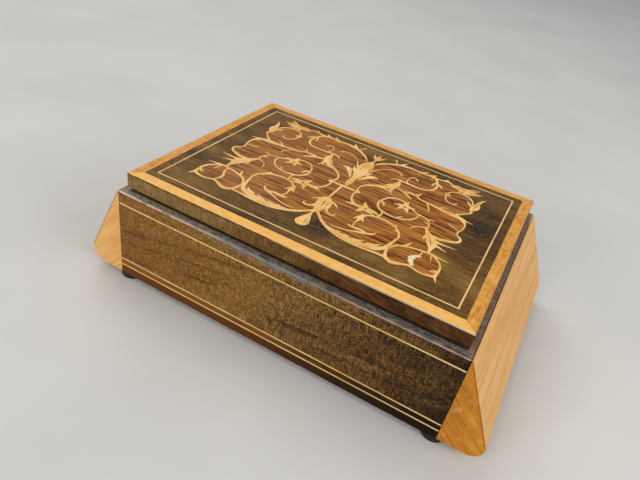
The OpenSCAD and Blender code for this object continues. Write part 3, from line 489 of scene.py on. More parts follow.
bare = add(tree, "ValToRGB", [run], arris_tones)
shown = add(tree, "Mix", [rubbed, tone, bare], data_type="RGBA")
surface(tree, {"Base Color": shown, "Roughness": 0.5, "Specular IOR Level": 0.3}, fibres, 0.4, 0.15)

for side in ("front", "back", "left", "right"):
    eased_copy("ledge_strip_" + side, ["ledge_" + side], dulled_ledge, "case", ease=0.3)


# ---------------------------------------------------------------------------
# Inside of the case: thin liner boards that stop just under the lid's plinth,
# and dark red felt glued on the bottom board.
# ---------------------------------------------------------------------------
# Liner wood, waxed: plain quiet mahogany-brown board with 10 x 0.7 mm fibres.
waxed_liner, tree, place = new_finish("waxed_liner_board")
strand = grown(tree, place, (10, 10, 0.7), 5, 0.65)
tone = add(tree, "ValToRGB", [strand], [(0.32, "#8A5A34"), (0.5, "#A8743F"), (0.68, "#BC8A52")])
surface(tree, {"Base Color": tone, "Roughness": 0.5}, strand, 0.25, 0.1)

board_ease = 0.5
for n, side in enumerate(("front", "back", "left", "right")):
    board = eased_board(*span("liner_" + side), board_ease, seed=30 + n)
    lay("liner_board_" + side, board, waxed_liner, "case", "liner_wood", "liner_" + side)

# Short felt: matted dark red wool, no weave, with a soft sheen at grazing angles and tufts 0.8 mm across.
red_felt, tree, place = new_finish("short_wool_felt")
wool = grown(tree, place, (0.8, 0.8, 0.8), 5, 0.8)
worn = grown(tree, place, (22, 22, 22), 3)
both = add(tree, "Mix", [0.35, wool, worn])
tone = add(tree, "ValToRGB", [both], [(0.35, "#3E0A12"), (0.5, "#5C1019"), (0.66, "#771B24")])
felt = {"Base Color": tone, "Roughness": 0.95, "Sheen Weight": 0.5, "Sheen Roughness": 0.5}
surface(tree, felt, wool, 0.6, 0.3)


def felt_pad(low, high, seed, roll=0.5, lumps=0.12, step=2.5):
    """A felt pad: a grid over its plan whose upper face swells a little and rolls down at its rim.

    Along and across, the grid's lines lie at 0.5 - 0.5 cos(pi s) of the way, s going evenly from 0 to 1, so
    they are closest at the rim. The height over the back is the thickness less the lumps, times
    1 - 0.65 e**(-d / roll) with d the distance to the nearest rim, plus the lumps times a slow ripple.
    """
    places = []
    for a, b in zip(low[:2], high[:2]):
        share = np.linspace(0, 1, int((b - a) / step) + 1)
        places.append(a + (b - a) * (0.5 - 0.5 * np.cos(np.pi * share)))
    gx, gy = np.meshgrid(*places, indexing="ij")
    rim = np.minimum.reduce([gx - low[0], high[0] - gx, gy - low[1], high[1] - gy])
    slow = ripple(gx.ravel(), seed, longest=70, shortest=18)
    slow *= ripple(gy.ravel(), seed + 1, longest=60, shortest=15)
    rolled = 0.35 + 0.65 * (1 - np.exp(-rim / roll))
    swell = (high[2] - low[2] - lumps) * rolled + lumps * slow.reshape(gx.shape)
    top = np.stack([gx, gy, low[2] + swell], -1).reshape(-1, 3)
    back = np.stack([gx, gy, np.full(gx.shape, low[2])], -1).reshape(-1, 3)
    number = np.arange(gx.size).reshape(gx.shape)
    a, b, c, d = number[:-1, :-1], number[1:, :-1], number[1:, 1:], number[:-1, 1:]
    upper = np.stack([a, b, c, d], -1).reshape(-1, 4)
    lower = upper[:, ::-1] + gx.size
    loop = np.concatenate([number[:, 0], number[-1, 1:], number[-2::-1, -1], number[0, -2:0:-1]])
    ahead = np.roll(loop, -1)
    wall = np.stack([loop, loop + gx.size, ahead + gx.size, ahead], -1)
    return np.vstack([top, back]), np.vstack([upper, lower, wall[:, ::-1]])


lay("floor_felt_pad", felt_pad(*span("floor_felt"), seed=51), red_felt, "case", "felt_lining", "floor_felt")


# ---------------------------------------------------------------------------
# Feet: four small feet turned from hard wood and stained black, each held by one
# nail that is driven in from below.
# ---------------------------------------------------------------------------
# Black stain on turned wood, nearly matt: small pits in it, 0.7 mm wide and 0.3 mm high.
black_stain, tree, place = new_finish("black_stained_turned_wood")
pits = grown(tree, place, (0.7, 0.7, 0.3), 3)
tone = add(tree, "ValToRGB", [pits], [(0.35, "#0C0B0A"), (0.6, "#1A1816"), (0.75, "#2A2622")])
surface(tree, {"Base Color": tone, "Roughness": 0.5}, pits, 0.3, 0.1)

eased_copy("turned_feet", ["feet"], black_stain, "case", ease=0.15)


# ---------------------------------------------------------------------------
# End wedges: solid beech, sawn to a slope with a rounded toe and planed. The
# left one slides forward on its dovetail rail and the right one back. Their
# rings lie aslant, and the end grain has drunk more of the yellow varnish. The
# right one's end is darker again, partly its own wood and partly painted shade.
# ---------------------------------------------------------------------------
varnished_beech, tree, place = new_finish("varnished_beech_satin")
x, y, z = add(tree, "SeparateXYZ", [place]).node.outputs
# the two wedges are cut as a mirrored pair, so the pattern is folded at the middle of the box
folded = add(tree, "Math", [x], operation="ABSOLUTE")
solid = add(tree, "CombineXYZ", [folded, y, z])
# growth rings 1.4 mm apart, falling outward at 46 degrees, 80 mm long
rings = grown(tree, solid, (30, 80, 1.4), 2, 0.55, turn=(0, np.radians(46), 0))
# ray flecks, 0.28 x 2.6 mm
flecks = grown(tree, solid, (0.28, 2.6, 0.28), 1)
slow = grown(tree, solid, (16, 45, 16), 3)
body = add(tree, "Mix", [0.3, rings, slow])
slope_tones = [(0.34, "#DC9F50"), (0.46, "#E6AE64"), (0.56, "#EEB872"), (0.68, "#F4C484")]
# the right wedge's end has darker, more orange tones: partly its own wood and partly painted shade
right_end_shaded_tones = [(0.36, "#A66614"), (0.47, "#C87E1E"), (0.56, "#D48A26"), (0.68, "#E09C3C")]
slope_tone = add(tree, "ValToRGB", [body], slope_tones)
end_left = add(tree, "ValToRGB", [body], [(0.36, "#E0A050"), (0.5, "#F0B66C"), (0.64, "#F6C480")])
end_right_shaded = add(tree, "ValToRGB", [body], right_end_shaded_tones)
at_right = add(tree, "Math", [x, 0], operation="GREATER_THAN")
end_tone = add(tree, "Mix", [at_right, end_left, end_right_shaded], data_type="RGBA")
normal = add(tree, "TexCoord").node.outputs["Normal"]
forward = add(tree, "SeparateXYZ", [normal]).node.outputs[1]
turned = add(tree, "Math", [forward], operation="ABSOLUTE")
on_end = add(tree, "MapRange", [turned, 0.35, 0.8])
# the ends are scuffed pale in spots 4 mm across
scuff = grown(tree, solid, (4, 4, 5), 3, 0.6, start=(0, 0, 3))
end_tone = tint(tree, end_tone, "#EBC07C", scuff, (0.56, 0.74), (0, 0.4))
tone = add(tree, "Mix", [on_end, slope_tone, end_tone], data_type="RGBA")
# the last 0.7 mm of the end grain before the slope is darker, measured square to it
slope_normal = (0.9045, 0, 0.4263)
over = add(tree, "VectorMath", [solid, slope_normal], operation="DOT_PRODUCT")
near_slope = add(tree, "MapRange", [over, 104.2 * mm, 104.9 * mm, 0, 0.6])
slope_edge_dark = add(tree, "Math", [near_slope, on_end], operation="MULTIPLY")
tone = add(tree, "Mix", [slope_edge_dark, tone, "#7A4A1C"], data_type="RGBA")
marks = add(tree, "ValToRGB", [flecks], [(0.26, "#B98C58"), (0.38, "#FFFFFF")])
shown = add(tree, "Mix", [0.8, tone, marks], data_type="RGBA", blend_type="MULTIPLY")
surface(tree, {"Base Color": shown, "Roughness": 0.5, "Specular IOR Level": 0.2}, rings, 0.15, 0.2)

for side in ("left", "right"):
    wedge = side + "_wedge"
    eased_copy("beech_wedge_" + side, [wedge], varnished_beech, wedge, ease=0.45, steps=3)

# Rails: waxed hard beech, polished by the wedge that rides on them, with fibres of 8 x 0.6 mm.
waxed_rail, tree, place = new_finish("waxed_hard_rail")
strand = grown(tree, place, (0.6, 8, 0.6), 4)
tone = add(tree, "ValToRGB", [strand], [(0.32, "#7C5230"), (0.5, "#9A6A40"), (0.68, "#B08050")])
surface(tree, {"Base Color": tone, "Roughness": 0.36}, strand, 0.2, 0.1)

eased_copy("dovetail_rails", ["left_rail", "right_rail"], waxed_rail, "case", ease=0.25)

# Bright drawn steel: fine lines along the pin, 0.3 mm apart so that they are seen, barely tarnished.
drawn_steel, tree, place = new_finish("bright_drawn_steel")
lines = grown(tree, place, (4, 0.3, 0.3), 3)
tone = add(tree, "ValToRGB", [lines], [(0.3, "#8C8C8A"), (0.7, "#B4B4B2")])
dull = add(tree, "MapRange", [lines, 0.3, 0.7, 0.25, 0.42])
surface(tree, {"Base Color": tone, "Metallic": 1, "Roughness": dull})

coat(drawn_steel, "rail_screws", "stop_pins", "foot_nails", "lock_bolt", "hinge_left_pin", "hinge_right_pin")


# ---------------------------------------------------------------------------
# Lock, key and hinges: pressed and filed brass, lacquered once, now brown in
# the corners and bright where it rubs.
# ---------------------------------------------------------------------------
aged_brass, tree, place = new_finish("aged_filed_brass")
tarnish = grown(tree, place, (3.5, 3.5, 3.5), 5, 0.7)
# file strokes 0.25 mm apart
strokes = grown(tree, place, (0.25, 5, 5), 2)
tone = add(tree, "ValToRGB", [tarnish], [(0.34, "#8A6428"), (0.48, "#B88C3E"), (0.62, "#D2A850")])
dull = add(tree, "MapRange", [tarnish, 0.35, 0.65, 0.48, 0.26])
surface(tree, {"Base Color": tone, "Metallic": 1, "Roughness": dull}, strokes, 0.1, 0.1)

coat(aged_brass, "hinge_case_screws", "hinge_lid_screws", "lock_screws", "link_screws", "lock_case")

for name, node, body in (
    ("brass_escutcheon", "escutcheon", "case"),
    ("lock_selvedge_and_cap", "lock_cap", "case"),
    ("lid_link_plate", "link_plate", "lid"),
    ("small_key", "key", "left_wedge"),
    ("hinge_leaf_case_left", "hinge_left_case_leaf", "case"),
    ("hinge_leaf_lid_left", "hinge_left_lid_leaf", "lid"),
    ("hinge_leaf_case_right", "hinge_right_case_leaf", "case"),
    ("hinge_leaf_lid_right", "hinge_right_lid_leaf", "lid"),
):
    eased_copy(name, [node], aged_brass, body, ease=0.12)


# ---------------------------------------------------------------------------
# Lid: a board with a plinth under it that drops between the liners, felt on
# the plinth, and upright-grained veneer round the edge, mitred at the corners.
# ---------------------------------------------------------------------------
# Lid board and plinth: plain sanded lime wood under brown stain.
sanded_lid, tree, place = new_finish("sanded_stained_lid_board")
strand = grown(tree, place, (14, 0.9, 0.9), 4)
tone = add(tree, "ValToRGB", [strand], [(0.32, "#6E4826"), (0.5, "#875C34"), (0.68, "#9A6E42")])
surface(tree, {"Base Color": tone, "Roughness": 0.6}, strand, 0.2, 0.1)

coat(sanded_lid, "lid_board")
plinth = eased_board(*span("lid_plinth"), board_ease, seed=61)
lay("lid_plinth_board", plinth, sanded_lid, "lid", "lid_wood", "lid_plinth")

# the lid's felt is the same pad turned over
low, high = span("lid_felt")
points, faces = felt_pad(low, high, seed=55)
points[:, 2] = low[2] + high[2] - points[:, 2]
lay("lid_felt_pad", (points, faces[:, ::-1]), red_felt, "lid", "felt_lining", "lid_felt")


def mitred_strip(section, half_long, half_deep, quarter, seed=None, wear=0.0, step=2.0):
    """One side of a mitred frame: a closed section carried along a straight path.

    A section point is (distance in from the frame's outer edge, height, worn or not). Along the strip, from
    -1 to 1, it lies at (along * (half_long - distance), distance - half_deep), so both ends come out mitred.
    The strip is then turned by quarter turns. Where a seed is given, points marked 1 draw in and down by the
    wear.
    """
    count = max(2, int(2 * half_long / step))
    along = np.linspace(-1, 1, count + 1)[:, None]
    inward, height = section[None, :, 0], section[None, :, 1]
    give = np.zeros((count + 1, len(section)))
    if seed is not None:
        give = wear * ripple(along[:, 0] * half_long, seed)[:, None] * section[None, :, 2]
    x = along * (half_long - inward)
    y = inward + give - half_deep
    z = np.broadcast_to(height, x.shape) - give
    cos, sin = np.cos(np.pi / 2 * quarter), np.sin(np.pi / 2 * quarter)
    points = np.stack([x * cos - y * sin, x * sin + y * cos, z], -1).reshape(-1, 3)
    number = np.arange(len(points)).reshape(count + 1, -1)
    caps = [number[0].tolist(), number[-1, ::-1].tolist()]
    return points, bridge(count + 1, len(section))[:, ::-1].tolist() + caps


def eased_section(low, high, ease, rounds, worn=()):
    """A rectangular section with rounded corners, as rows of distance, height and 1 at the worn corners.

    Corner k, counted from the outer foot, is the quarter circle of radius ease * rounds[k] about the point
    that lies as far in from both of its sides. A small one has only its two ends.
    """
    (d0, z0), (d1, z1) = low, high
    corners = [(d0, z0, 1, 1, 180), (d1, z0, -1, 1, 270), (d1, z1, -1, -1, 0), (d0, z1, 1, -1, 90)]
    rows = []
    for k, (d, z, inward, upward, start) in enumerate(corners):
        radius = ease * rounds[k]
        swing = np.radians(start + np.linspace(0, 90, 5 if rounds[k] > 0.5 else 2))
        across = d + inward * radius + radius * np.cos(swing)
        height = z + upward * radius + radius * np.sin(swing)
        rows.append(np.column_stack([across, height, np.full(len(swing), float(k in worn))]))
    return np.vstack(rows)


# Edge veneer: the same stained figured sheet, cut with its grain upright. It is olive-brown and mottled on
# the left and a darker red-brown towards the right, streaked by upright pores.
lid_half = (87.5, 65)  # from its middle to its ends and to its front and back
lid_end = lid_half[0] * mm
edge_veneer, tree, place = new_finish("upright_edge_veneer_satin")
x, _, z = add(tree, "SeparateXYZ", [place]).node.outputs
cloud = grown(tree, place, (24, 24, 9), 3)
run, tone_level = left_to_right_share(tree, x, lid_end, cloud, 0.16)
stain_marks = (0, 0.3, 0.5, 0.65, 0.8, 1)
ground_tones = ("#7C6236", "#705228", "#5A3E18", "#44290E", "#3C200A", "#2C1608")
streak_tones = ("#A08450", "#967242", "#86622F", "#785228", "#704A20", "#643A1A")
ground = add(tree, "ValToRGB", [tone_level], list(zip(stain_marks, ground_tones)))
pale = add(tree, "ValToRGB", [tone_level], list(zip(stain_marks, streak_tones)))
# upright streaks 0.9 mm wide and 4 mm high
streaks = grown(tree, place, (0.9, 0.9, 4), 3, 0.65)
# towards the right the sheet was cut from nearer the root, and its streaks lie down, 7 x 0.6 mm, and fall to
# the right
lying = grown(tree, place, (7, 7, 0.6), 3, 0.65, turn=(0, np.radians(14), 0))
lie_down = add(tree, "MapRange", [run, 0.45, 0.7, 0, 0.85])
figure = add(tree, "Mix", [lie_down, streaks, lying])
shown = tint(tree, ground, pale, figure, (0.38, 0.64))
# towards the right the figure gathers in dark blots, 7 mm wide
blots = grown(tree, place, (7, 7, 5), 3, 0.6)
blotted = add(tree, "MapRange", [blots, 0.4, 0.5, 0.6, 0])
blotted = add(tree, "Math", [blotted, run], operation="MULTIPLY")
shown = add(tree, "Mix", [blotted, shown, "#241206"], data_type="RGBA")
# the glue line under the banding is dark on the left and rubbed pale on the right
seam = add(tree, "MapRange", [z, 62.6 * mm, 62.9 * mm, 0, 0.85])
seam_tone = add(tree, "ValToRGB", [run], [(0.45, "#20140A"), (0.68, "#B49E84"), (1, "#CDBBA4")])
shown = add(tree, "Mix", [seam, shown, seam_tone], data_type="RGBA")
surface(tree, {"Base Color": shown, "Roughness": 0.46, "Specular IOR Level": 0.12}, streaks, 0.3, 0.12)

lid_under, lid_sheet, lid_top = 55.8, 63, 63.8  # underside, foot of the top veneers, top
edge_thick, edge_ease = 0.7, 0.3
around = (("front", lid_half), ("right", lid_half[::-1]), ("back", lid_half), ("left", lid_half[::-1]))
edge_rounds = (1, 0.2, 0.2, 0.2)
edge_section = eased_section((0, lid_under), (edge_thick, lid_sheet), edge_ease, edge_rounds, worn=(0,))
for quarter, (side, half) in enumerate(around):
    strip = mitred_strip(edge_section, *half, quarter, seed=70 + quarter, wear=0.12)
    lay("lid_edge_veneer_" + side, strip, edge_veneer, "lid", "lid_edge_veneer", "lid_edge_" + side)


# ---------------------------------------------------------------------------
# Top of the lid: maple banding mitred at the corners, a dark border, a string
# line, and the dark field in which the marquetry lies. All are 0.8 mm sheets
# glued to the board and scraped level. The banding's outer arris is worn round.
# ---------------------------------------------------------------------------
def banding_finish(name, grain, stops, edge_stops):
    """Maple banding: satin varnish gone yellow, fibres along the strip and a faint silky figure 3 mm across.

    Under the arris the sheet's edge has the tones of edge_stops from left to right, broken up every 2 mm or
    so.
    """
    made, tree, place = new_finish(name)
    strand = grown(tree, place, grain, 4, 0.6)
    silk = grown(tree, place, (3, 3, 3), 3)
    both = add(tree, "Mix", [0.45, strand, silk])
    tone = add(tree, "ValToRGB", [both], stops)
    x, _, z = add(tree, "SeparateXYZ", [place]).node.outputs
    run = add(tree, "MapRange", [x, -lid_end, lid_end])
    worn = add(tree, "ValToRGB", [run], edge_stops)
    low_edge = add(tree, "MapRange", [z, 63.66 * mm, 63.5 * mm])
    bits = grown(tree, place, (2, 2, 2), 3, 0.7)
    broken_up = add(tree, "MapRange", [bits, 0.5, 0.62, 1, 0.5])
    amount = add(tree, "Math", [low_edge, broken_up], operation="MULTIPLY")
    shown = add(tree, "Mix", [amount, tone, worn], data_type="RGBA")
    surface(tree, {"Base Color": shown, "Roughness": 0.42, "Specular IOR Level": 0.25}, strand, 0.12, 0.1)
    return made


rubbed_front = [(0, "#4A3824"), (0.45, "#5A462E"), (0.62, "#B49C7C"), (1, "#D4C2AA")]
dark_edge_tones = [(0, "#6A4420"), (1, "#7A5228")]
bright_tones = [(0.32, "#E8A848"), (0.46, "#F4B85C"), (0.56, "#F8C268"), (0.68, "#FFD284")]
front_maple = banding_finish("maple_banding_bright", (14, 0.8, 2), bright_tones, rubbed_front)
amber_tones = [(0.36, "#BE7628"), (0.46, "#D69238"), (0.56, "#E4A44C"), (0.66, "#EEB868")]
dull_maple = banding_finish("maple_banding_amber", (0.8, 14, 2), amber_tones, dark_edge_tones)
honey_tones = [(0.34, "#D08C3A"), (0.5, "#E2A24C"), (0.66, "#EEB666")]
back_maple = banding_finish("maple_banding_honey", (14, 0.8, 2), honey_tones, dark_edge_tones)

banding_wide, banding_arris = 5.6, 0.55
banding_rounds = (0.1, 0.1, 0.1, 1)
banding_section = eased_section(
    (0, lid_sheet), (banding_wide, lid_top), banding_arris, banding_rounds, worn=(3,)
)
maples = {"front": front_maple, "right": dull_maple, "back": back_maple, "left": dull_maple}
for quarter, (side, half) in enumerate(around):
    strip = mitred_strip(banding_section, *half, quarter, seed=80 + quarter, wear=0.05)
    lay("maple_banding_" + side, strip, maples[side], "lid", "maple_banding", "banding_" + side)

# Field veneer: fine straight-grained dark wood, brown at the front and left, nearly black behind on the
# right, partly from a painted dark reflection, with dull patches 26 mm long and short pale pores.
field_wood, tree, place = new_finish("dark_field_veneer_satin")
cloud = grown(tree, place, (26, 11, 15), 4, 0.6)
strand = grown(tree, place, (14, 0.9, 2), 3, 0.6)
tone_level = add(tree, "Mix", [0.45, cloud, strand])
# behind on the right the field is darker, partly stain and partly a painted dark reflection; the stain is
# darker in the middle of the front and paler at the right front corner: each patch has its middle, its reach
# and what it adds there
patches = (
    ((66, 14, 63.4), (26, 30, 30), -0.1),
    ((4, -44, 63.4), (20, 12, 30), -0.06),
    ((62, -42, 63.4), (32, 20, 30), 0.05),
)
for middle, reach, change in patches:
    patch = add(tree, "Mapping", [place, cells(*middle), (0, 0, 0), cells(*reach)], vector_type="TEXTURE")
    away = add(tree, "VectorMath", [patch], operation="LENGTH")
    shaded = add(tree, "MapRange", [away, 0.2, 1.3, change, 0])
    tone_level = add(tree, "Math", [tone_level, shaded], operation="ADD")
field_tones = [(0.33, "#20160A"), (0.41, "#4A3310"), (0.5, "#68461A"), (0.58, "#7C5A26"), (0.68, "#926D38")]
tone = add(tree, "ValToRGB", [tone_level], field_tones)
pores = grown(tree, place, (2.2, 0.6, 2), 2, 0.6)
shown = tint(tree, tone, "#B2945C", pores, (0.58, 0.76), (0, 0.6))
shown = tint(tree, shown, "#20150A", pores, (0.28, 0.42), (0.4, 0))
surface(tree, {"Base Color": shown, "Roughness": 0.44, "Specular IOR Level": 0.15}, pores, 0.25, 0.1)

string_inset = 9.8  # from the edge of the lid


def frame_of_strips(outer, inner):
    """Four mitred strips between two distances in from the lid's edge, with their top corners just broken."""
    broken = 0.05
    section = eased_section((outer, lid_sheet), (inner, lid_top), broken, (0.1, 0.1, 1, 1))
    return join([mitred_strip(section, *half, quarter) for quarter, (_, half) in enumerate(around)])


border = frame_of_strips(banding_wide, string_inset)
lay("dark_border", border, field_wood, "lid", "field_veneer", "lid_border")
string_frame = frame_of_strips(string_inset, string_inset + string_width)
lay("lid_string_line", string_frame, string, "lid", "string_line", "lid_string")


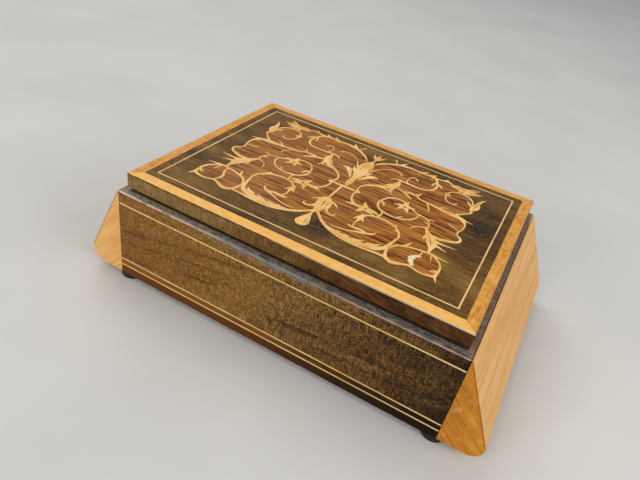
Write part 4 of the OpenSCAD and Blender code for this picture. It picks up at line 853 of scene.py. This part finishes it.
# ---------------------------------------------------------------------------
# Marquetry: maple scrollwork in a rosewood ground, let into the dark field as
# one traditional symmetrical ornament. Every stroke is sawn with a fine blade,
# so a thin kerf full of dark glue runs round it, and inside some of them.
# ---------------------------------------------------------------------------
# Rows are x, y and the stroke's width in millimetres from the ornament's axis. The strokes of the right half
# are mirrored to the left; those on the axis are cut once.
scroll_strokes = [
    [(-1, -0.3, 2.3), (3, -0.3, 1.9), (6.5, -0.3, 1.7), (8.3, -0.3, 2.6)],
    [(7.4, 0.6, 1.5), (6.6, 3, 1.1), (6.9, 6.5, 1.2), (9, 10, 1.5), (12, 12.6, 2), (16, 15, 3.2),
     (19.5, 18.5, 5), (21.2, 22, 4), (21.2, 25.5, 2.2), (21, 28.2, 0.6)],
    [(21, 17, 2), (20.8, 14, 1.8), (21.6, 12, 1), (22.6, 10.8, 0.4)],
    [(14, 13, 1.8), (17, 13.4, 1.4), (20, 12.8, 1.2)],
    [(3, 35.5, 1.2), (5, 39, 1.5), (8, 42, 1.7), (10.5, 43.7, 1.6), (12.5, 45, 1.8), (15.5, 46.2, 2.2),
     (20, 47, 2), (24, 46.9, 1.6), (28, 46.6, 1.8), (31, 46.9, 2), (34, 47, 2.2), (36.4, 45.6, 1.8),
     (38.2, 42.5, 1.5), (39.5, 38, 1.5), (39.7, 35, 1.6), (38.5, 31.2, 1.6), (36, 29, 1.5),
     (32, 28.1, 1.4), (27, 28.2, 1.6), (22, 28.5, 1.6), (19, 28.4, 1.4), (17, 27.4, 1.1), (16, 25.5, 0.5)],
    [(14, 45.4, 2), (15.6, 48, 2), (17.5, 51.5, 0.3)],
    [(26.5, 46.6, 2), (28.8, 48.4, 1.6), (30.5, 50.5, 0.3)],
    [(31.5, 47, 2), (34, 48.3, 1.6), (36, 50.2, 0.3)],
    [(39.2, 40.5, 1.2), (41, 39.2, 1.6), (42.3, 37.6, 1.2), (43, 36, 0.3)],
    [(38.4, 42, 1), (37.3, 39.2, 1.2), (36.9, 37, 1), (37.3, 35, 0.3)],
    [(25.5, 46.8, 1.2), (26.3, 45.4, 0.9), (26.5, 44, 0.3)],
    [(34.6, 46.8, 1.2), (34.6, 45, 0.9), (34, 43, 0.3)],
    [(11, 43.6, 1), (11.6, 46, 0.8), (11.3, 48.2, 0.8), (10.4, 49.6, 1), (9.2, 50, 0.9)],
    [(24.6, 29, 1.2), (24, 32, 0.8), (24.1, 35, 0.8), (25.6, 37.2, 1), (27.6, 37, 1.2), (28.9, 35.2, 1)],
    [(4.2, 25.5, 1.4), (5.6, 28.5, 1), (7, 31.4, 0.9), (9.4, 34.3, 0.9), (13, 36.5, 1), (16, 37.1, 1.1),
     (18.5, 36.1, 1.3), (19.4, 34.3, 1)],
    [(23, 19.2, 1.4), (26, 18, 1.6), (29, 16.4, 1.7), (32.5, 13.8, 1.2)],
    [(27, 18, 1.8), (30, 19.2, 2.2), (33, 19, 1.8), (34.6, 20.8, 1.6), (35.7, 23.5, 0.3)],
    [(34, 19.6, 1.4), (36, 17.2, 1.5), (40, 16.1, 1.5), (44, 15.8, 1.6), (48, 15.2, 2.4),
     (52, 14.8, 3.2), (56, 14.6, 3.4), (60, 14, 2.6), (63.5, 13.2, 1.2), (67, 12.8, 0.3)],
    [(41.2, 15.6, 1.2), (42.8, 12.6, 0.9), (44.1, 10, 0.9), (44, 8, 0.5)],
    [(48, 16, 1.4), (50.5, 18.5, 1), (52.5, 19, 0.3)],
    [(60.4, 13.6, 2.4), (62.4, 11.8, 2), (63.6, 9.6, 1.4), (64, 6.5, 1), (63.5, 3, 1), (62.6, 0, 1),
     (63.2, -2.6, 1.1), (65.2, -4.6, 1.4), (65.8, -7, 1.5), (64, -9.6, 1.6), (60, -11.8, 1.5),
     (57, -13, 1.6)],
    [(56.5, 5, 0.8), (58, 3.3, 0.9), (60, 2.7, 0.9), (62.4, 2, 0.8)],
    [(63, 24.2, 1.2), (62, 26.6, 1.2), (61.5, 30, 1.1), (61.4, 33.4, 1.1), (60.2, 36.6, 1.2),
     (57.4, 39.2, 1.3), (54, 40.1, 1.3), (51, 39.6, 1.2), (48.3, 37.8, 1.2), (46.9, 35, 1.3),
     (46.8, 31.5, 1.2), (47.4, 28.2, 1.1), (49.2, 26, 1.1), (51.6, 25.1, 1.2), (53.8, 26, 1.2),
     (54, 27.6, 0.8)],
    [(47.2, 31.5, 1), (46.3, 33.4, 1.8), (45.3, 34.8, 0.4)],
    [(47, 34.6, 1), (48.2, 33.2, 1.4), (48.9, 32, 0.3)],
    [(61.8, 26.4, 1.4), (63.4, 28.4, 3.2), (64, 31.6, 3.8), (63.9, 35.4, 2.6), (64.8, 39, 1.6),
     (66.6, 42.6, 0.3)],
    [(60.8, 30.5, 1), (59.4, 32.6, 1.6), (58.2, 34.6, 0.3)],
    [(63.1, 25, 1.6), (62.8, 22.8, 1.2), (61.4, 20.9, 1.1), (59.8, 18.8, 1.1), (57.4, 16.6, 1.6)],
    [(46.6, 44.6, 1.4), (49.6, 44.4, 2.2), (52.4, 43.6, 3), (55.4, 44.2, 3), (58, 45.2, 2),
     (61, 45.9, 1.2), (64, 46, 0.3)],
    [(50.5, 46.4, 1.6), (53.6, 46.4, 1.6), (56.4, 47.8, 1.3), (58.6, 49.4, 1.1), (61, 50.9, 0.3)],
    [(55, 45.2, 1.8), (58, 46.8, 1.2), (61.2, 49.4, 0.4)],
    [(54, 42, 2), (56.5, 42.1, 1.8), (59, 43.3, 1.2), (62.6, 44.9, 0.3)],
    [(52, 40.4, 1.4), (51.6, 42, 1.6), (52, 43.4, 2)],
    [(36.4, 46.4, 1.4), (40, 47, 1.4), (42.2, 48, 1.8), (44.6, 47.4, 1.6), (46.4, 46, 1.5),
     (49, 46.6, 1.8), (51, 47.4, 0.8)],
    [(41, 47.2, 1.4), (42, 49, 1.2), (42.8, 50, 0.3)],
    [(7.4, -1, 1.4), (7, -4, 1.1), (8, -8, 1.2), (10, -11, 1.6), (13, -13, 2)],
    [(15.5, -6.4, 0.3), (16, -8.6, 1.8), (17.4, -11, 3)],
    [(26, -14, 0.5), (22.6, -12.6, 2.4), (18.6, -12.8, 4)],
    [(15, -18.6, 0.3), (15.6, -16.4, 1.8), (17, -13.6, 3.4)],
    [(7, -13.6, 0.3), (10, -13, 1.6), (14, -12.6, 2.6), (17.5, -12.6, 3.6)],
    [(24, -15.6, 0.4), (21, -14.6, 1.8), (18, -13.4, 2.8)],
    [(25.8, -14.4, 1.2), (26.2, -12, 1), (26, -9.6, 1.2)],
    [(32.5, 5.5, 1.6), (31.5, 8, 1.5), (28, 8.5, 1.3), (24.2, 7.3, 1.3), (22.4, 4.8, 1.3), (21.3, 2, 1.3),
     (20.6, -1, 1.2), (21, -3.8, 1.3), (22.2, -6.3, 1.3), (25.2, -8.6, 1.5), (30, -9.7, 1.4),
     (35, -9, 1.3), (39, -6.5, 1.2), (41.2, -3, 1.1), (41.7, 0, 1), (41.1, 2.4, 0.8)],
    [(21, 0.5, 1.2), (23, -1, 1.8), (24.2, -4, 0.3)],
    [(33, -9.4, 1), (34.4, -7.6, 1.2), (35.8, -5.8, 0.3)],
    [(33, 4, 4.6), (33, 7, 2.2), (33.1, 10, 0.3)],
    [(33, 4, 4.6), (35.6, 4.6, 2.4), (38, 5, 1.2)],
    [(33, 4, 4.4), (34.8, 1.4, 2.2), (36.2, -1.2, 0.3)],
    [(33, 4, 4.4), (31.4, 1.4, 2), (30, -1.2, 0.3)],
    [(33, 4, 4.4), (30, 3.6, 2.2), (27, 3, 0.3)],
    [(36.6, 4.3, 1.4), (40, 2.2, 1.1), (44, 1.4, 1.1), (46.6, 0.3, 1.2), (48.2, -2.2, 1.2),
     (49, -5, 1.3), (48.6, -8, 1.4)],
    [(47, 0.8, 1), (48.8, 1.5, 1), (50.6, 1.5, 0.4)],
    [(48.6, -3.4, 1.2), (47, -3.2, 1.2), (45.6, -2.2, 0.3)],
    [(48.6, -7.4, 1.3), (46, -8.5, 1), (44, -9.6, 0.9), (42.6, -12, 0.9), (42.2, -14.2, 0.5)],
    [(48.8, -7.6, 1.6), (50.4, -10.6, 2.6), (52.6, -13.6, 4.4), (54.6, -17, 5.6), (55.6, -20, 4.4),
     (56, -23, 2.2), (56.3, -27, 1.5)],
    [(53, -12.4, 2.4), (57, -12.1, 2), (61, -10.6, 1.3), (65, -8.9, 0.3)],
    [(55, -15.6, 3), (59, -15.8, 1.6), (63, -15.6, 1), (66.4, -15.4, 0.3)],
    [(56, -18.8, 2.4), (59.4, -19.4, 1.4), (63, -20.6, 0.3)],
    [(51.6, -12, 2), (50.6, -14.6, 1.8), (50.4, -18.4, 0.3)],
    [(66.4, -28, 0.3), (62, -27.5, 1.2), (58, -26.9, 1.6), (54, -27.3, 1.4), (50, -28, 1.3),
     (46, -29.2, 1.5), (43, -30.8, 1.4), (41, -33.2, 1.4), (39.8, -36, 1.6)],
    [(45.4, -28.6, 1), (46.6, -26.6, 1.4), (47.2, -24.4, 0.3)],
    [(59, -27.4, 1.2), (62.2, -30.2, 1.3), (64.2, -33.6, 1.3), (64.6, -38, 1.4), (64.3, -41.6, 1.8),
     (66, -45.6, 0.3)],
    [(64.2, -37.6, 1.6), (62.6, -38.8, 1.6), (60.8, -39.2, 0.3)],
    [(64.4, -42, 1.8), (60, -43.4, 1.4), (57, -43.4, 1.3), (54, -42.5, 1.3), (52, -42.1, 1.4),
     (50, -42.8, 1.5), (47.5, -44, 2), (44.5, -44.8, 2.4), (41.6, -43.4, 2), (40.3, -40.6, 1.6),
     (39.6, -36, 1.5)],
    [(45.4, -44.2, 1.6), (44.6, -45.4, 1), (44.4, -46.4, 0.3)],
    [(58.2, -27.4, 1), (58.6, -30, 0.9), (59.4, -33, 0.5)],
    [(53.8, -27.6, 1), (53.9, -30, 1), (53.2, -32.6, 1.2), (51.6, -35.4, 1.4), (51.7, -38.8, 1.3),
     (53, -42, 1.2)],
    [(0.5, -31, 1.8), (3, -34, 1.7), (7, -38, 1.8), (12, -41, 2), (17, -43, 1.8), (22, -44, 1.6),
     (30, -44.1, 1.5), (36, -43.4, 1.5), (41, -43.2, 1.6)],
    [(11, -39.8, 0.8), (16, -41.2, 2.6), (22, -42.2, 3), (28, -41.8, 3.2), (34, -40.6, 3.6),
     (38, -37.6, 2.6), (39.3, -33, 1.8), (40.2, -28, 1.3), (40.6, -25, 1.3), (39.6, -21.5, 1.4),
     (38, -19.5, 1.5), (35.4, -17, 1.6), (32, -15.9, 1.5), (29, -15.4, 1.4), (25, -15.6, 1.3),
     (22, -17, 1.3), (20.2, -19, 1.4)],
    [(14.4, -41, 1.4), (15.6, -39.9, 1.2), (17.6, -39.4, 0.3)],
    [(18, -41, 1.6), (20.6, -40.2, 1.2), (23, -39.6, 0.3)],
    [(24, -40.8, 1.8), (27, -39.8, 1.4), (29, -38.2, 0.3)],
    [(31, -39.4, 2), (34.2, -38, 1.6), (36.6, -35.6, 0.3)],
    [(36.8, -18.6, 1.4), (36.2, -16, 1), (35.4, -14.4, 0.3)],
    [(38.6, -20.6, 1.4), (37.6, -20.2, 1), (36.2, -21.2, 0.3)],
    [(19.6, -19, 2), (19.4, -21, 3), (19.4, -23, 2.6), (19.3, -25, 1.3), (19, -28, 0.9), (19.6, -31, 1.2)],
    [(19, -20.6, 1.4), (17.8, -22.8, 1.3), (17, -25, 0.3)],
    [(19.8, -20.6, 1.4), (21, -22.8, 1.3), (22, -25, 0.3)],
    [(16.4, -30.6, 0.3), (18, -31.6, 1.6), (21, -31.6, 1.8), (24, -31.4, 1.8), (26, -32, 1.6)],
    [(25.4, -32.6, 1.8), (28.6, -31.8, 1.6), (30.4, -30, 1), (30.6, -27.4, 0.3)],
    [(26, -33, 1.6), (23, -34.2, 1.2), (20, -35.6, 1.1), (16, -37, 1), (12, -37.4, 0.8), (9.8, -36.8, 0.3)],
    [(0, -19.4, 2.4), (3.6, -19.3, 1.4), (5, -20.4, 1.4), (7.6, -22.6, 0.3)],
    [(1.6, -20, 3), (2.6, -23.4, 2.6), (3, -26.4, 2), (4.6, -28.9, 1.5), (7, -29.9, 1.4),
     (8.6, -28.9, 1.1), (8.4, -27.2, 0.4)],
    [(0, -27, 4.6), (0.2, -29.6, 3.4), (0.2, -31.6, 1.6)],
    [(2.4, 12, 1.4), (4.4, 15.4, 2.2), (6.4, 19, 3.2), (8.4, 20.4, 2.4), (11, 20, 0.3)],
    [(4, 20, 2), (5, 23, 1.2), (5.4, 25, 0.4)],
]
axis_strokes = [
    [(-1.1, 0, 1.7), (-1.1, -9, 1.3), (-1.1, -19, 1.8)],
    [(0.4, 37, 0.8), (0.3, 35, 3.6), (0.2, 33, 5.6), (0.1, 30, 7.4), (0, 26, 8.3), (0, 22, 7.8),
     (0, 18, 6.4), (0, 14.6, 4.4), (0, 12, 3), (0, 9, 3.4), (0, 6, 4), (0, 3.4, 2.8), (0, 1.8, 1.6)],
    [(0.6, 36, 1.2), (0.8, 38.4, 1.1), (0.8, 40.4, 1.4), (0.9, 43, 2.8), (0.9, 45.4, 2), (0.9, 48, 0.3)],
    [(0.7, 40.8, 1.6), (-0.8, 43, 1.8), (-1.8, 45, 1.4), (-2.6, 47.2, 0.3)],
    [(0.9, 40.8, 1.6), (2.6, 43, 1.8), (3.6, 44.8, 1.4), (4.6, 46.6, 0.3)],
    [(-1, -18.8, 6), (-1, -21, 6.6), (-1, -24, 6), (-0.9, -27, 5), (-0.6, -30, 3.4), (-0.4, -32, 2)],
    [(-1, -32, 1.4), (-0.8, -35.4, 1.5), (-0.8, -37.6, 3), (-0.8, -40, 4.6), (-0.8, -42.4, 6.4),
     (-0.8, -44, 7.2)],
]
saw_lines = [
    [(13, -41.4, 0.25), (20, -43.1, 0.25), (28, -43.1, 0.25), (36, -41.9, 0.3), (39.4, -38.4, 0.25),
     (40.3, -34, 0.2)],
    [(24, -41.6, 0.2), (31, -41, 0.25), (36, -38.6, 0.2), (38, -35, 0.15)],
    [(2.9, 30.5, 0.2), (3.4, 26, 0.35), (3.2, 21.6, 0.2)],
    [(-1, 32, 0.2), (-1.6, 27, 0.35), (-1.4, 22, 0.2)],
    [(9.5, 11.4, 0.2), (13.6, 14.4, 0.25), (18, 18.4, 0.3), (20.6, 23, 0.25), (21, 26, 0.15)],
    [(19, 46.4, 0.2), (26, 45.9, 0.25), (33, 46.2, 0.25), (36.4, 44, 0.2)],
    [(48, 15, 0.2), (54, 14.4, 0.3), (60, 13.6, 0.2)],
    [(62.6, 28, 0.2), (63.6, 31.6, 0.35), (63.8, 36, 0.2)],
    [(51, 44.4, 0.2), (55, 44.4, 0.3), (59, 45.2, 0.15)],
    [(51.6, -12.6, 0.2), (54, -17, 0.4), (55.6, -21, 0.2)],
    [(-0.6, -20.6, 0.5), (-0.5, -23, 0.55), (-0.4, -25.6, 0.3)],
    [(1.4, -20.8, 0.4), (1.5, -23, 0.5), (1.3, -25.4, 0.2)],
    [(-0.2, -39.6, 0.3), (0.4, -44.4, 0.5)],
    [(1, -40.6, 0.2), (2, -44.4, 0.4)],
    [(18, -12.5, 1.5), (18.2, -12.7, 1.2)],
    [(33, 3.4, 1.5), (33.1, 3.6, 1.2)],
    [(19.4, -22.9, 0.8), (19.5, -23.1, 0.7)],
    [(15.5, 16, 0.8), (17, 16.8, 0.7)],
]
ground_outline = [
    (0, 35), (3, 36), (5, 39), (8, 42), (10.5, 43.5), (12.5, 45), (15.5, 46.2), (20, 47), (24, 46.9),
    (28, 46.6), (31, 46.9), (36, 46.3), (40, 47), (42.2, 48), (44.6, 47.4), (46.4, 46), (49.6, 44.4),
    (52, 42), (54, 40.1), (57.4, 39.2), (60.2, 36.6), (61.4, 33.4), (61.5, 30), (62, 26.6), (63, 24.2),
    (62.8, 22.8), (61.4, 20.9), (59.8, 18.8), (57.4, 16.6), (60, 14), (62.4, 11.8), (63.6, 9.6),
    (64, 6.5), (63.5, 3), (62.6, 0), (63.2, -2.6), (65.2, -4.6), (65.8, -7), (64, -9.6), (60, -11.8),
    (57, -12.6), (55, -17), (56, -23), (56.3, -27), (59, -27.4), (62.2, -30.2), (64.2, -33.6),
    (64.6, -38), (64.3, -41.6), (60, -43.4), (57, -43.4), (54, -42.5), (52, -42.1), (50, -42.8),
    (47.5, -44), (44.5, -44.8), (41, -43.2), (36, -43.4), (30, -44.1), (22, -44), (17, -43), (12, -41),
    (7, -38), (3, -34), (0.5, -31), (0, -31),
]

ornament_axis = np.array([-1.8, 0.6])  # on the lid, from its middle
saw_gap = 0.18  # kerf on either side of a stroke, drawn wider than the saw left it so that it is seen
bed_level = 63.4  # the ornament is let in 0.4 mm deep over its glue bed


def through(rows, step=0.9):
    """Points about one step apart on a smooth curve through the rows.

    From one row to the next runs the cubic whose slope at each of them is half the step from the row before
    it to the row after it.
    """
    rows = np.asarray(rows, float)
    padded = np.vstack([2 * rows[0] - rows[1], rows, 2 * rows[-1] - rows[-2]])
    parts = []
    for before, a, b, after in zip(padded[:-3], padded[1:-2], padded[2:-1], padded[3:]):
        count = max(2, int(np.hypot(*(b - a)[:2]) / step))
        t = np.linspace(0, 1, count, endpoint=False)[:, None]
        parts.append(
            (2 * t**3 - 3 * t**2 + 1) * a
            + (t**3 - 2 * t**2 + t) * (b - before) / 2
            + (3 * t**2 - 2 * t**3) * b
            + (t**3 - t**2) * (after - a) / 2
        )
    return np.vstack([*parts, rows[-1:]])


def stroke_parts(rows, extra, mirror, trim=0.0):
    """A stroke as convex pieces.

    They are a quad between each two points of its curve, and an octagon at blunt ends, where a quad would
    fold, and where the curve turns by more than 20 degrees at a point. Across the stroke they reach to either
    side by half of its width less the trim, plus the extra.
    """
    path = through(rows)
    finest, blunt, sharp_turn = 0.16, 0.4, 20
    middle, half = path[:, :2], np.maximum(path[:, 2] - trim, finest) / 2 + extra
    lead = np.gradient(middle, axis=0)
    lead /= np.linalg.norm(lead, axis=1, keepdims=True)
    side = np.column_stack([-lead[:, 1], lead[:, 0]]) * half[:, None]
    left, right = middle + side, middle - side
    quads = np.stack([right[:-1], right[1:], left[1:], left[:-1]], 1)
    along, across = np.roll(quads, -1, 1) - quads, np.roll(quads, -2, 1) - np.roll(quads, -1, 1)
    folded = (along[..., 0] * across[..., 1] - along[..., 1] * across[..., 0]).min(1) < 0.001
    turn = np.zeros(len(path))
    turn[1:-1] = np.degrees(np.arccos(np.clip((lead[:-2] * lead[2:]).sum(1), -1, 1))) / 2
    turn[[0, -1]] = 90 * (half[[0, -1]] > blunt)
    round_off = turn > sharp_turn
    round_off[:-1] |= folded
    round_off[1:] |= folded
    ring = np.radians(np.arange(22.5, 360, 45))
    octagon = np.column_stack([np.cos(ring), np.sin(ring)])
    made = [*quads[~folded], *(middle[n] + half[n] * octagon for n in np.flatnonzero(round_off))]
    return [part * (-1, 1) if mirror else part for part in made]


both_halves = [(rows, mirror) for rows in scroll_strokes for mirror in (False, True)]
every_stroke = both_halves + [(rows, False) for rows in axis_strokes]
# a saw line that starts within 3 mm of the axis is cut once
every_cut = [(rows, mirror) for rows in saw_lines for mirror in (False, True) if rows[0][0] > 3 or not mirror]

stroke_trim = 0.15  # the blade takes this off the drawn width
field_half = np.array(lid_half) - string_inset - string_width
field_edge = field_half * [(-1, -1), (1, -1), (1, 1), (-1, 1)] - ornament_axis
right_edge = np.array(ground_outline, float)[::-1]
ground_edge = np.vstack([right_edge, (right_edge * (-1, 1))[::-1][1:-1]])
layout = [("field", [field_edge]), ("ground", [ground_edge])]
layout += [("scroll", stroke_parts(rows, 0, mirror, stroke_trim)) for rows, mirror in every_stroke]
layout += [("kerf", stroke_parts(rows, saw_gap, mirror, stroke_trim)) for rows, mirror in every_stroke]
layout += [("cut", stroke_parts(rows, 0, mirror)) for rows, mirror in every_cut]


def holds(loop, spots):
    """Whether each spot lies inside a loop.

    It does where a level line from it to the right crosses the loop an odd number of times.
    """
    a, b = loop[:, None], np.roll(loop, -1, 0)[:, None]
    passed = (a[..., 1] > spots[:, 1]) != (b[..., 1] > spots[:, 1])
    share = (spots[:, 1] - a[..., 1]) / np.where(passed, b[..., 1] - a[..., 1], 1)
    crossed = passed & (a[..., 0] + share * (b[..., 0] - a[..., 0]) > spots[:, 0])
    return crossed.sum(0) % 2 == 1


# One drawing of all the outlines is split into triangles, and each triangle goes to the outlines that its
# middle lies in. Sorted by their middles, only those beside an outline are tried against it.
points, edges = [], []
for _, parts in layout:
    for part in parts:
        numbers = np.arange(len(part)) + len(points)
        edges += np.column_stack([numbers, np.roll(numbers, -1)]).tolist()
        points += [Vector(p) for p in part.tolist()]
plan, _, triangles, _, _, _ = delaunay_2d_cdt(points, edges, [], 0, 0.001, False)
plan = np.array([tuple(p) for p in plan])
triangles = np.array([tuple(face) for face in triangles])
middles = plan[triangles].mean(1)
triangles = triangles[np.argsort(middles[:, 0])]
middles = plan[triangles].mean(1)
held = {kind: np.zeros(len(triangles), bool) for kind, _ in layout}
for kind, parts in layout:
    for part in parts:
        first, last = np.searchsorted(middles[:, 0], (part[:, 0].min(), part[:, 0].max()))
        held[kind][first:last] |= holds(part, middles[first:last])
plan += ornament_axis
is_scroll = held["scroll"] & ~held["cut"]
is_let_in = held["ground"] | held["kerf"]
is_ground = held["ground"] & ~held["kerf"]
is_field = held["field"] & ~is_let_in


def cut_sheet(chosen, low, high):
    """Veneer cut to a plan.

    It is the chosen triangles at the high level, the same turned over at the low one, and a wall under every
    edge a-b of which no neighbour has the other side, b-a.
    """
    used, numbered = np.unique(triangles[chosen], return_inverse=True)
    numbered = numbered.reshape(-1, 3)
    flat = plan[used]
    count = len(flat)
    a, b = np.concatenate([numbered[:, [0, 1]], numbered[:, [1, 2]], numbered[:, [2, 0]]]).T
    alone = ~np.isin(a * count + b, b * count + a)
    a, b = a[alone], b[alone]
    walls = np.stack([b, a, a + count, b + count], -1)
    levels = [np.column_stack([flat, np.full(count, level)]) for level in (high, low)]
    faces = numbered.tolist() + (numbered[:, ::-1] + count).tolist() + walls.tolist()
    return np.vstack(levels), faces


# Scroll maple: satin varnish gone yellow over quiet wood, darker here and there where it was shaded.
scroll_maple, tree, place = new_finish("scroll_maple_satin")
strand = grown(tree, place, (7, 0.9, 2), 4, 0.6)
shade = grown(tree, place, (13, 13, 13), 3)
both = add(tree, "Mix", [0.5, strand, shade])
tone = add(tree, "ValToRGB", [both], [(0.34, "#D89A44"), (0.46, "#EEB762"), (0.58, "#FCD288")])
surface(tree, {"Base Color": tone, "Roughness": 0.42, "Specular IOR Level": 0.25}, strand, 0.12, 0.1)

# Rosewood: orange-brown with dark stripes 1.6 mm apart along the lid and a pinkish bloom, partly a painted
# sheen that is stronger on the left. Down in the kerf it is black with glue.
rosewood, tree, place = new_finish("striped_rosewood_satin")
x, y, z = add(tree, "SeparateXYZ", [place]).node.outputs
stripes = grown(tree, place, (16, 1.6, 3), 3, 0.55)
cloud = grown(tree, place, (26, 18, 18), 2)
rosewood_tones = [(0.35, "#401C07"), (0.43, "#763D0E"), (0.52, "#A2611C"), (0.66, "#BE8034")]
tone = add(tree, "ValToRGB", [stripes], rosewood_tones)
bloom_and_sheen = add(tree, "MapRange", [cloud, 0.45, 0.7, 0, 0.3])
# towards the left the bloom is raised by a painted sheen
left_sheen = add(tree, "MapRange", [x, -40 * mm, 20 * mm, 0.2, 0])
bloom_and_sheen = add(tree, "Math", [bloom_and_sheen, left_sheen], operation="ADD")
tinted = add(tree, "Mix", [bloom_and_sheen, tone, "#AA7646"], data_type="RGBA")
# behind on the left the rosewood is more orange
back_share = add(tree, "MapRange", [y, 20 * mm, 42 * mm, 0, 0.5])
left_share = add(tree, "MapRange", [x, -10 * mm, -30 * mm])
warm = add(tree, "Math", [back_share, left_share], operation="MULTIPLY")
tinted = add(tree, "Mix", [warm, tinted, "#BC7030"], data_type="RGBA")
pores = grown(tree, place, (1.6, 0.3, 2), 2)
tinted = tint(tree, tinted, "#241008", pores, (0.3, 0.42), (0.6, 0))
shown = tint(tree, tinted, "#1C100A", z, (63.75 * mm, 63.7 * mm))
surface(tree, {"Base Color": shown, "Roughness": 0.44, "Specular IOR Level": 0.15}, pores, 0.25, 0.1)

field = cut_sheet(is_field, lid_sheet, lid_top)
lay("field_sheet", field, field_wood, "lid", "field_veneer", "lid_field")
ground = join([cut_sheet(is_let_in, lid_sheet, bed_level), cut_sheet(is_ground, bed_level, lid_top)])
lay("rosewood_ground", ground, rosewood, "lid", "rosewood_ground", "marquetry_ground")
scrollwork = cut_sheet(is_scroll, bed_level, lid_top)
lay("maple_scrollwork", scrollwork, scroll_maple, "lid", "scroll_maple", "scrollwork")

# Filler: where a bit of the scroll was lost on the right, cream putty was pressed in and left a little proud.
# Each dab is a flattened ball: its radius is the dab's times 1 + 0.18 sin(3 a + 2 n) at the angle a round it,
# and it stands 0.12 mm proud.
putty, tree, place = new_finish("cream_filler_matt")
grit = grown(tree, place, (0.8, 0.8, 0.8), 3)
tone = add(tree, "ValToRGB", [grit], [(0.36, "#D8BE88"), (0.5, "#F6E4B8"), (0.64, "#FFF4D8")])
surface(tree, {"Base Color": tone, "Roughness": 0.7}, grit, 0.3, 0.1)

# x, y from the ornament's axis, and radius
dabs = (
    (54, -32.2, 0.7),
    (52.6, -33.2, 1),
    (51.6, -34.6, 1.3),
    (51.2, -36.3, 1.5),
    (51.6, -38, 1.3),
    (52.6, -39.5, 0.9),
    (53.5, -40.7, 0.6),
)
proud = 0.12
swing = np.linspace(0, 2 * np.pi, 24, endpoint=False)
heights = np.linspace(-np.pi / 2, np.pi / 2, 9)[1:-1, None]
spoke = np.arange(len(swing))
ahead = np.roll(spoke, -1)
last_ring = (len(heights) - 1) * len(swing)
low_pole = np.full(len(swing), len(heights) * len(swing))
foot_fan = np.stack([low_pole, ahead, spoke], -1)
top_fan = np.stack([low_pole + 1, last_ring + spoke, last_ring + ahead], -1)
fans = np.stack([foot_fan, top_fan], 1).reshape(-1, 3)
faces = bridge(len(heights), len(swing)).tolist() + fans.tolist()
shells = []
for n, (x, y, radius) in enumerate(dabs):
    ring = np.cos(heights) * radius * (1 + 0.18 * np.sin(3 * swing + 2 * n))
    lift = np.broadcast_to(np.sin(heights) * proud, ring.shape)
    ball = np.stack([ring * np.cos(swing), ring * np.sin(swing), lift], -1).reshape(-1, 3)
    ball = np.vstack([ball, [(0, 0, -proud), (0, 0, proud)]])
    shells.append((ball + (x + ornament_axis[0], y + ornament_axis[1], lid_top), faces))
filler = put_mesh("filler_dabs", *join(shells), putty)
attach(filler, "lid")
